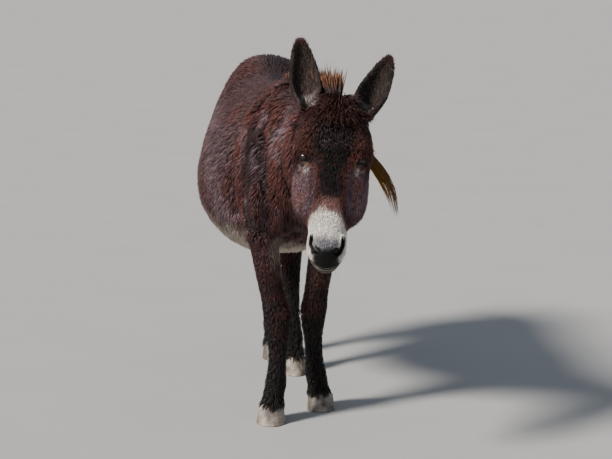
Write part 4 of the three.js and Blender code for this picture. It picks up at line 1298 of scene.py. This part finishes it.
def make_forelock(tree, surface_places):
    """The tuft between the ears: locks that rise from the poll and fall over the forehead."""
    random = np.random.default_rng(19)
    roots, aside, z = forelock_roots(tree, random)
    count = len(roots)
    rise = unit(np.column_stack([0.14 * aside, np.full(count, 0.8), -0.45 + 7 * (z + 0.05)]))
    rise = unit(rise + random.normal(0, 0.22, (count, 3)))
    fall = unit(0.45 * rise + np.column_stack([0.18 * aside, np.full(count, -0.30), np.full(count, 0.85)]))
    length = random.uniform(*FORELOCK_LONG, count)[:, None]
    knots = [in_head(roots) - rise * 0.003]
    for share, way in ((0.4, rise), (0.35, unit(rise + fall)), (0.35, fall)):
        knots.append(knots[-1] + way * length * share)
    paths = np.stack([from_head(knot) for knot in knots], 1)
    widths = (random.uniform(*FORELOCK_LOCK_WIDE, count) * MM)[:, None] * np.array(FORELOCK_WIDTHS)
    ups = unit(random.normal(0, 1, (count, 3)))
    tone = np.exp(0.45 * random.uniform(-1, 1, count))[:, None]
    shades = [MANE_ROOT * tone * 0.6, MANE_ROOT * tone * 0.9, MANE_RED * tone * 0.45, MANE_RED * tone * 0.9]
    return piece_of_locks("forelock", paths, widths, ups, by_ring(shades), surface_places(roots))


# ---------------------------------------------------------------- tail
SWITCH_LOCKS = 900
SWITCH_BUNDLES = 34  # that the locks hang together in
SWITCH_RINGS = 8
SWITCH_ROOTS = (0.34, 0.70)  # from the tail's root to its tip
SWITCH_LONG = (0.18, 0.5)
SWITCH_ENDS = (0.74, 1.0)
SWITCH_LOCK_WIDE = (1.2, 2.6)  # millimetres


def switch_paths(at, steps, bundle, turn, random):
    """Each lock's path round the tail's line: out from it at once, and waving with its bundle."""
    line = tail_line(at)
    ways = unit(tail_line(at + 0.01) - tail_line(at - 0.01))
    side = unit(np.cross([0, 0, 1.0], ways))
    top = np.cross(ways, side)
    bundle_out = random.uniform(0.15, 1.0, SWITCH_BUNDLES)[bundle]
    spread_out = bundle_out[:, None] * random.uniform(0.85, 1.05, (SWITCH_LOCKS, 1))
    opening = 0.35 + 0.65 * ramp(steps, 0, 0.35)
    wave = 0.4 * np.sin(turn[:, None] * 3 + steps * random.uniform(2, 6, (SWITCH_BUNDLES, 1))[bundle])
    radius = tail_radius(at) * spread_out * opening
    angle = turn[:, None] + wave
    paths = line + (np.cos(angle) * radius)[..., None] * side + (np.sin(angle) * radius)[..., None] * top
    return paths, angle


def switch_colours(at, angle, random):
    """Dark brown at the dock, then brown, and gold towards the tip and on the underside."""
    tone = np.exp(0.4 * random.uniform(-1, 1, SWITCH_LOCKS))[:, None]
    under = ramp(np.sin(angle.mean(1)), 0.5, -0.5)
    gold = (random.uniform(0.3, 1, SWITCH_LOCKS) * (0.3 + 0.7 * under))[:, None]
    levels = []
    for along in at.T:
        colour = paint(filled(along, TAIL_DARK), TAIL_BROWN, ramp(along, 0.45, 0.75))
        colour = colour + (TAIL_GOLD - colour) * gold * ramp(along, 0.4, 0.7)[:, None]
        levels.append(colour * tone)
    return by_ring(levels)


def make_switch():
    """The tail's long hair: locks that leave the dock all round and run down its line to the tip."""
    random = np.random.default_rng(13)
    start = random.uniform(*SWITCH_ROOTS, SWITCH_LOCKS)
    end = start + random.uniform(*SWITCH_LONG, SWITCH_LOCKS)
    end = np.minimum(end, random.uniform(*SWITCH_ENDS, SWITCH_LOCKS))
    bundle = random.integers(0, SWITCH_BUNDLES, SWITCH_LOCKS)
    turn = random.uniform(0, 2 * np.pi, SWITCH_BUNDLES)[bundle] + random.normal(0, 0.15, SWITCH_LOCKS)
    steps = np.linspace(0, 1, SWITCH_RINGS + 1)
    at = start[:, None] + (end - start)[:, None] * steps
    paths, angle = switch_paths(at, steps, bundle, turn, random)
    width = random.uniform(*SWITCH_LOCK_WIDE, SWITCH_LOCKS) * MM
    widths = width[:, None] * np.append(np.linspace(1, 0.5, SWITCH_RINGS), 0)
    ups = unit(random.normal(0, 1, (SWITCH_LOCKS, 3)))
    places = np.column_stack([turn / (2 * np.pi), start]) * 0.96 + 0.02
    return piece_of_locks("tail_locks", paths, widths, ups, switch_colours(at, angle, random), places)


# ---------------------------------------------------------------- lashes and whiskers
LASHES = 34  # on each upper lid
WHISKERS = 46
BRISTLE_WIDTHS = [0.8, 0.6, 0]  # millimetres, from root to tip
LASH_LONG = (7, 12)
WHISKER_LONG = (14, 30)


def lash_paths(side, random):
    """The lashes of one upper lid."""
    axes = eye_axes(side)
    a = np.linspace(-0.85, 0.8, LASHES) * OPENING["long"] + random.normal(0, 0.3 * MM, LASHES)
    b = OPENING["above"] * np.sqrt(np.maximum(1 - (a / OPENING["long"]) ** 2, 0)) + 1.2 * MM
    c = np.sqrt((EYE_RADIUS + LID_THICK) ** 2 - a**2 - b**2)
    root = eye_centre(side) + np.column_stack([a, b, c]) @ axes
    out = axes[2] + 0.45 * axes[1] - axes[0] * 0.2
    length = random.uniform(*LASH_LONG, LASHES)[:, None] * MM
    return np.stack([root, root + out * length * 0.5, root + out * length - axes[1] * 0.25 * length], 1)


def whisker_paths(tree, random):
    """Whiskers on lips and chin, drooping a little."""
    across_lips = random.uniform(-0.036, 0.036, WHISKERS)
    down = random.uniform(0.41, 0.50, WHISKERS)
    out_of = from_head(np.column_stack([across_lips * 2.4, random.choice([-0.09, 0.06], WHISKERS), down]))
    aim = from_head(np.column_stack([across_lips * 0.4, np.full(WHISKERS, -0.01), down - 0.02]))
    hits = [tree.ray_cast(Vector(p), Vector(q - p).normalized()) for p, q in zip(out_of, aim)]
    for root, normal in [(np.array(hit[0]), np.array(hit[1])) for hit in hits if hit[0]]:
        length = random.uniform(*WHISKER_LONG) * MM
        way = unit(normal + np.array([0, 0, -0.35]) + random.normal(0, 0.15, 3))
        bent = root + way * length + np.array([0, 0, -0.25 * length])
        yield np.stack([root, root + way * length * 0.5, bent])[None]


def make_bristles(tree, surface_places):
    """Dark lashes on the upper lids and a few stiff whiskers on lips and chin."""
    random = np.random.default_rng(17)
    lashes = [lash_paths(side, random) for side in (RIGHT, LEFT)]
    paths = np.concatenate(lashes + list(whisker_paths(tree, random)))
    widths = np.tile(np.array(BRISTLE_WIDTHS) * MM, (len(paths), 1))
    ups = unit(np.tile([0.3, 0.2, 0.9], (len(paths), 1)))
    colours = np.tile(NEAR_BLACK, (len(paths), 7, 1))
    return piece_of_locks("bristles", paths, widths, ups, colours, surface_places(paths[:, 0]))


# ---------------------------------------------------------------- eyes
BALL_ROUND = 72
PUPIL_LONG = 6.5 * MM
PUPIL_TALL = 3.2 * MM
IRIS_RADIUS = 13.5 * MM
FIBRE = 0.12  # radians of turn from one fibre to the next
CORNEA_RADIUS = 14 * MM
CORNEA_OUT = 1.3 * MM
IRIS_BROWN = linear("#1f0f08")
IRIS_RIM = linear("#0d0705")
EYE_WHITE = linear("#1d130f")  # brown in a donkey
PUPIL_BLACK = linear("#040404")


def eye_colours(local):
    """A dark brown iris with fine fibres and a darker rim, the pupil, and brown round them."""
    front = local[:, 2] > 0
    off_axis = np.hypot(local[:, 0], local[:, 1])
    turn = np.arctan2(local[:, 1], local[:, 0])
    fibres = 0.75 + 0.5 * cloud(np.column_stack([turn, turn * 0, turn * 0]), FIBRE, 71)
    iris = ease(off_axis - IRIS_RADIUS + MM, 2 * MM) * front
    colours = filled(local, EYE_WHITE)
    colours += (IRIS_BROWN * fibres[:, None] - colours) * iris[:, None]
    colours = paint(colours, IRIS_RIM, ease(np.abs(off_axis - IRIS_RADIUS), 2 * MM) * front)
    pupil = np.hypot(local[:, 0] / PUPIL_LONG, local[:, 1] / PUPIL_TALL)
    return paint(colours, PUPIL_BLACK, ease(pupil - 0.9, 0.3) * front)


def make_eye(side):
    """An eyeball with a slight bulge over the iris and a wide pupil lying along the opening."""
    form = bmesh.new()
    bmesh.ops.create_uvsphere(form, u_segments=BALL_ROUND, v_segments=BALL_ROUND // 2, radius=EYE_RADIUS)
    name = "eyeball_left" if side == LEFT else "eyeball_right"
    mesh = bpy.data.meshes.new(name)
    form.to_mesh(mesh)
    form.free()
    local = points_of(mesh)
    off_axis = np.hypot(local[:, 0], local[:, 1])
    local[:, 2] += CORNEA_OUT * ease(off_axis, CORNEA_RADIUS) * (local[:, 2] > 0)
    axes = eye_axes(side)
    set_points(mesh, local @ axes + eye_centre(side))
    keep_colours(mesh, eye_colours(local))
    smoothed(mesh)
    if np.linalg.det(axes) < 0:
        mesh.flip_normals()
    return new_object(name, mesh)


# ---------------------------------------------------------------- hooves
HOOF_HEIGHT = 0.062
TOE_SLOPE = 0.62
HEEL_SLOPE = 0.1
CORONET_FALL = 0.38
HOOF_ROUND = 64
HOOF_LEVELS = [0, 0.03, 0.09, 0.16, 0.24, 0.32, 0.40, 0.48, 0.56, 0.64, 0.72, 0.80, 0.88, 0.95, 1.0]
GROWTH_RING = 0.5 * MM
SOLE_INSET = 0.03  # the wall's shares that the sole's edge and the coronet lie inside it
WALL_INSET = 0.004
CORONET_RISE = 0.93
HOOF_PLUG = [(0.86, 0.003), (0.7, 0.012)]  # share of the coronet and lift, up inside the leg
HOOVES = {
    "fore_right": {"at": (-0.090, -0.505), "wide": 0.048, "toe": 0.060, "heel": 0.046},
    "fore_left": {"at": (0.092, -0.357), "wide": 0.048, "toe": 0.060, "heel": 0.046},
    "hind_right": {"at": (0.018, 0.362), "wide": 0.044, "toe": 0.060, "heel": 0.044},
    "hind_left": {"at": (0.068, 0.124), "wide": 0.044, "toe": 0.060, "heel": 0.044},
}


def hoof_ring(hoof, rise, inset):
    """One level of a hoof's wall: round at the toe, drawn in at the heels, sloping back as it rises."""
    turn = np.linspace(0, 2 * np.pi, HOOF_ROUND, endpoint=False)
    behind = np.maximum(np.sin(turn), 0)
    front = hoof["toe"] - HOOF_HEIGHT * TOE_SLOPE * rise
    back = hoof["heel"] + HOOF_HEIGHT * HEEL_SLOPE * rise
    y = np.sin(turn) * np.where(behind > 0, back, front)
    x = np.cos(turn) * hoof["wide"] * (1 - 0.13 * rise) * (1 - 0.2 * behind)
    fall = 1 - CORONET_FALL * (y + hoof["toe"]) / (hoof["toe"] + hoof["heel"])
    cleft = 0.012 * np.exp(-((x / 0.007) ** 2)) * (y > 0.02) * (1 - 0.5 * rise)
    shrink = 1 - inset
    place = np.column_stack([x * shrink, (y - cleft) * shrink, HOOF_HEIGHT * rise * fall])
    return place + np.array([*hoof["at"], 0]) + SHIFT


def hoof_rings(hoof):
    """A hoof's rings of points: the sole's edge, the wall with its growth rings, and the plug."""
    rings = [hoof_ring(hoof, 0, SOLE_INSET)]
    for rise in HOOF_LEVELS[1:]:
        ripple = GROWTH_RING * math.sin(rise * 34) * (rise < CORONET_RISE) / hoof["wide"]
        rings.append(hoof_ring(hoof, rise, WALL_INSET - ripple))
    top = rings[-1]
    middle = top.mean(0)
    for share, lift in HOOF_PLUG:
        rings.append(middle + (top - middle) * np.array([share, share, 1]) + np.array([0, 0, lift]))
    return rings


def raised(form, ring, edges):
    """The next ring of vertices extruded from one, in the same order, with its edges."""
    made = bmesh.ops.extrude_edge_only(form, edges=edges)["geom"]
    fresh = [item for item in made if isinstance(item, bmesh.types.BMVert)]
    edges = [e for e in made if isinstance(e, bmesh.types.BMEdge) and all(v in fresh for v in e.verts)]
    number = {vertex: i for i, vertex in enumerate(ring)}
    order = {}
    for vertex in fresh:
        below = next(e.other_vert(vertex) for e in vertex.link_edges if e.other_vert(vertex) in number)
        order[number[below]] = vertex
    return [order[i] for i in range(len(ring))], edges


def make_hoof(name):
    """A hoof: a flat sole with a rounded edge, a ringed wall, a coronet and a plug up into the leg."""
    rings = hoof_rings(HOOVES[name])
    form = bmesh.new()
    ring = bmesh.ops.create_circle(form, segments=HOOF_ROUND, radius=1, cap_ends=True)["verts"]
    move_to(ring, rings[0])
    edges = list(form.edges)
    for places in rings[1:]:
        ring, edges = raised(form, ring, edges)
        move_to(ring, places)
    bmesh.ops.contextual_create(form, geom=ring)
    bmesh.ops.recalc_face_normals(form, faces=form.faces)
    mesh = bpy.data.meshes.new("horn_" + name)
    form.to_mesh(mesh)
    form.free()
    walls = np.array([abs(face.normal.z) < 0.97 for face in mesh.polygons])
    mesh.polygons.foreach_set("use_smooth", walls)
    return new_object("horn_" + name, mesh)


# ---------------------------------------------------------------- materials
# The sizes of the patterns in metres. Strands of single hairs are drawn coarser than real, to show.
COAT_STRAND = 0.0022
FINE_STRAND = 0.0016
PORE = 0.0026
STAIN = 0.034
HORN_FIBRE = 0.0013
RINGS_TO_METRE = 34.0  # the wave texture's scale
DUSTY_TINT = (*linear("#c9bcc4"), 1)
HORN_STAIN = linear("#574f46")
HORN_CREAM = linear("#a2978b")


def node_in(tree, kind, values=None, links=None, **settings):
    """Adds a shader node with its settings, its sockets' values and its links."""
    node = tree.nodes.new("ShaderNode" + kind)
    for key, value in settings.items():
        setattr(node, key, value)
    for key, value in (values or {}).items():
        node.inputs[key].default_value = value
    for key, source in (links or {}).items():
        tree.links.new(source, node.inputs[key])
    return node


def new_material(name, surface):
    """A material whose principled shader has these values, with its node tree and shader."""
    material = bpy.data.materials.new(name)
    material.use_nodes = True
    shader = material.node_tree.nodes["Principled BSDF"]
    for key, value in surface.items():
        shader.inputs[key].default_value = value
    return material, material.node_tree, shader


def object_noise(tree, size, detail=2.0, stretch=(1, 1, 1)):
    """Noise whose patches are size metres across, stretched along the object's axes."""
    place = node_in(tree, "TexCoord").outputs["Object"]
    scale = tuple(1 / (size * s) for s in stretch)
    scaled = node_in(tree, "Mapping", {"Scale": scale}, {"Vector": place})
    return node_in(tree, "TexNoise", {"Scale": 1.0, "Detail": detail}, {"Vector": scaled.outputs["Vector"]})


def coat_colour(tree):
    """The colours kept on a piece's points."""
    return node_in(tree, "Attribute", attribute_name="coat").outputs["Color"]


def shade(tree, colour, noise, low, high):
    """A colour made darker and lighter by a noise, from low to high."""
    limits = {"From Min": 0.3, "From Max": 0.7, "To Min": low, "To Max": high}
    span = node_in(tree, "MapRange", limits, {"Value": noise})
    return node_in(tree, "VectorMath", links={0: colour, 1: span.outputs[0]}, operation="MULTIPLY").outputs[0]


def bumped(tree, height, strength, distance, under=None):
    """The normal of a relief that is distance metres deep, over another one's normal."""
    links = {"Height": height, "Normal": under} if under else {"Height": height}
    return node_in(tree, "Bump", {"Strength": strength, "Distance": distance}, links).outputs["Normal"]


def winter_hair():
    """Donkey's winter coat hair, weathered: satin locks, streaked along, that glint softly in the sun."""
    surface = {
        "Roughness": 0.5,
        "IOR": 1.55,
        "Specular IOR Level": 0.3,
        "Sheen Weight": 0.02,
        "Sheen Roughness": 0.4,
        "Sheen Tint": DUSTY_TINT,
    }
    material, tree, shader = new_material("winter_hair_weathered", surface)
    strands = object_noise(tree, COAT_STRAND, 2, (1, 1, 3)).outputs["Fac"]
    shaded = shade(tree, coat_colour(tree), strands, 0.72, 1.3)
    tree.links.new(shaded, shader.inputs["Base Color"])
    tree.links.new(bumped(tree, strands, 0.4, 0.0006), shader.inputs["Normal"])
    return material


def long_hair(name, roughness):
    """Coarse mane or tail hair, combed by wind: long fine streaks, and a glint along each lock."""
    surface = {"Roughness": roughness, "IOR": 1.55, "Specular IOR Level": 0.3, "Sheen Weight": 0.04}
    material, tree, shader = new_material(name, surface)
    strands = object_noise(tree, FINE_STRAND, 1, (1, 1, 6)).outputs["Fac"]
    shaded = shade(tree, coat_colour(tree), strands, 0.7, 1.35)
    tree.links.new(shaded, shader.inputs["Base Color"])
    return material


def short_fur_skin():
    """Skin under short fur: matt with fine hair as relief, and leathery and pored where it is bare."""
    surface = {
        "IOR": 1.45,
        "Specular IOR Level": 0.18,
        "Sheen Weight": 0.02,
        "Sheen Roughness": 0.5,
        "Sheen Tint": DUSTY_TINT,
    }
    material, tree, shader = new_material("short_fur_and_bare_skin", surface)
    bare = node_in(tree, "Attribute", attribute_name="bare").outputs["Fac"]
    hair = object_noise(tree, FINE_STRAND, 3, (1, 1, 3)).outputs["Fac"]
    shaded = shade(tree, coat_colour(tree), hair, 0.6, 1.2)
    tree.links.new(shaded, shader.inputs["Base Color"])
    rough = node_in(tree, "MapRange", {"To Min": 0.7, "To Max": 0.42}, {"Value": bare})
    tree.links.new(rough.outputs[0], shader.inputs["Roughness"])
    pores = object_noise(tree, PORE, 4).outputs["Fac"]
    height = node_in(tree, "Mix", links={0: bare, 2: hair, 3: pores}, data_type="FLOAT").outputs[0]
    tree.links.new(bumped(tree, height, 0.6, 0.001), shader.inputs["Normal"])
    return material


def wet_eye():
    """A living eye, wet all over: a dark brown ball under a clear film with one sharp glint."""
    surface = {
        "Roughness": 0.3,
        "IOR": 1.36,
        "Coat Weight": 1.0,
        "Coat Roughness": 0.03,
        "Coat IOR": 1.45,
    }
    material, tree, shader = new_material("wet_eye", surface)
    tree.links.new(coat_colour(tree), shader.inputs["Base Color"])
    return material


def worn_horn():
    """Hoof horn, worn and dusty: matt grey-cream with growth rings, dark stains and fine upright fibres."""
    surface = {"Roughness": 0.6, "IOR": 1.55, "Specular IOR Level": 0.4}
    material, tree, shader = new_material("worn_hoof_horn", surface)
    stains = object_noise(tree, STAIN, 4, (1, 1, 1.8)).outputs["Fac"]
    horn = node_in(tree, "ValToRGB", links={"Fac": stains})
    for stop, place, colour in zip(horn.color_ramp.elements, (0.36, 0.62), (HORN_STAIN, HORN_CREAM)):
        stop.position = place
        stop.color = (*colour, 1)
    fibres = object_noise(tree, HORN_FIBRE, 2, (1, 1, 14)).outputs["Fac"]
    fibred = shade(tree, horn.outputs["Color"], fibres, 0.78, 1.12)
    tree.links.new(fibred, shader.inputs["Base Color"])
    place = node_in(tree, "TexCoord").outputs["Object"]
    waves = {"Scale": RINGS_TO_METRE, "Distortion": 2.0, "Detail": 2.0}
    rings = node_in(tree, "TexWave", waves, {"Vector": place}, bands_direction="Z").outputs["Fac"]
    ringed = bumped(tree, rings, 0.5, 0.0008)
    tree.links.new(bumped(tree, fibres, 0.4, 0.0004, ringed), shader.inputs["Normal"])
    return material


# ---------------------------------------------------------------- the stage
CAMERA_AT = np.array([-0.707, -6.06, 1.6]) + SHIFT
CAMERA_TURN = (math.radians(80.2), 0, math.radians(-7.5))
CAMERA_LENS = 104.76
VIEW_REACH = 60
FLOOR_SIZE = 60
FLOOR_GREY = linear("#a6a5a2")
SUN = {"from": (-3.6, -1.5, 3.3), "strength": 6.6, "spread": 12, "colour": "#fff9f2"}
FILL = {"from": (2.5, -4.5, 2.2), "aim": (0, 0, 0.6), "size": 3.0, "watts": 9, "colour": "#e4ecff"}
SKY = (*linear("#d3dff2"), 1)
SKY_STRENGTH = 0.45


def make_floor():
    """A plain pale floor that runs on past the view."""
    form = bmesh.new()
    bmesh.ops.create_grid(form, x_segments=1, y_segments=1, size=FLOOR_SIZE)
    mesh = bpy.data.meshes.new("floor")
    form.to_mesh(mesh)
    form.free()
    floor = new_object("floor", mesh)
    material, tree, shader = new_material("plain_floor", {"Roughness": 0.9})
    grain = object_noise(tree, 0.4, 2).outputs["Fac"]
    tone = node_in(tree, "RGB")
    tone.outputs[0].default_value = (*FLOOR_GREY, 1)
    shaded = shade(tree, tone.outputs[0], grain, 0.98, 1.02)
    tree.links.new(shaded, shader.inputs["Base Color"])
    mesh.materials.append(material)


def add_lamp(name, kind, colour, place, aim):
    """A lamp that faces a point from its place."""
    light = bpy.data.lights.new(name, kind)
    light.color = linear(colour)
    lamp = new_object(name, light)
    lamp.location = place
    lamp.rotation_euler = (Vector(aim) - Vector(place)).to_track_quat("-Z", "Y").to_euler()
    return light


def make_lights():
    """A broad sun from the animal's right, a soft square fill from its left and a pale sky."""
    sun = add_lamp("key", "SUN", SUN["colour"], SUN["from"], (0, 0, 0))
    sun.energy = SUN["strength"]
    sun.angle = math.radians(SUN["spread"])
    fill = add_lamp("fill", "AREA", FILL["colour"], FILL["from"], FILL["aim"])
    fill.size = FILL["size"]
    fill.energy = FILL["watts"]
    world = bpy.data.worlds.new("studio")
    world.use_nodes = True
    sky = world.node_tree.nodes["Background"]
    sky.inputs["Color"].default_value = SKY
    sky.inputs["Strength"].default_value = SKY_STRENGTH
    bpy.context.scene.world = world


def make_stage():
    """The camera, the floor and the lights."""
    make_floor()
    camera = bpy.data.cameras.new("camera")
    camera.lens = CAMERA_LENS
    camera.clip_end = VIEW_REACH
    holder = new_object("camera", camera)
    holder.location = CAMERA_AT
    holder.rotation_euler = CAMERA_TURN
    bpy.context.scene.camera = holder
    make_lights()


# ---------------------------------------------------------------- the donkey
UNDER_COAT_SHADE = 0.8  # how light the skin's colours are beside the coat's: painted shade under the locks


def finish_piece(piece, material, nodes=()):
    """Gives a piece its material, hangs it from the root body, and hides the CAD nodes that it stands for."""
    piece.data.materials.append(material)
    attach(piece, "root")
    if nodes:
        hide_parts(*nodes)


def marked_skin():
    """The skin as a piece with its colours and bare places, the shares of its flesh, and its unwrap."""
    mesh = make_skin()
    smoothed(mesh)
    skin = new_object("skin", mesh)
    points = points_of(mesh)
    shares = kinds_of(points, edges_of(mesh))
    # The skin darker than the coat, as painted shade under the locks.
    keep_colours(mesh, markings(points, normals_of(mesh, 2), shares) * UNDER_COAT_SHADE)
    bare = mesh.attributes.new("bare", "FLOAT", "POINT")
    bare.data.foreach_set("value", bareness(points, shares).astype(np.float32))
    return skin, shares, unwrapped(skin)


def make_donkey():
    """Every piece of the animal."""
    skin, shares, unwrap = marked_skin()
    finish_piece(skin, short_fur_skin(), FLESH_NODES)
    hair = winter_hair()
    for piece in make_coat(skin.data, shares, unwrap):
        finish_piece(piece, hair)
    form = bmesh.new()
    form.from_mesh(skin.data)
    tree = BVHTree.FromBMesh(form)
    form.free()
    first_loops = numbers(skin.data.polygons, "loop_start", 1, np.int32)

    def surface_places(roots):
        """The roots' places on the skin's unwrap."""
        return np.array([unwrap[first_loops[tree.find_nearest(Vector(root))[2]]] for root in roots])

    mane_hair = long_hair("mane_hair_upright", 0.5)
    tail_hair = long_hair("tail_hair_long", 0.42)
    finish_piece(make_mane(tree, surface_places), mane_hair, ["mane"])
    finish_piece(make_forelock(tree, surface_places), hair)
    finish_piece(make_switch(), tail_hair, ["tail_switch"])
    finish_piece(make_bristles(tree, surface_places), hair)
    eye = wet_eye()
    finish_piece(make_eye(RIGHT), eye, ["eye_right"])
    finish_piece(make_eye(LEFT), eye, ["eye_left"])
    horn = worn_horn()
    for name in HOOVES:
        finish_piece(make_hoof(name), horn, ["hoof_" + name])


make_stage()
make_donkey()
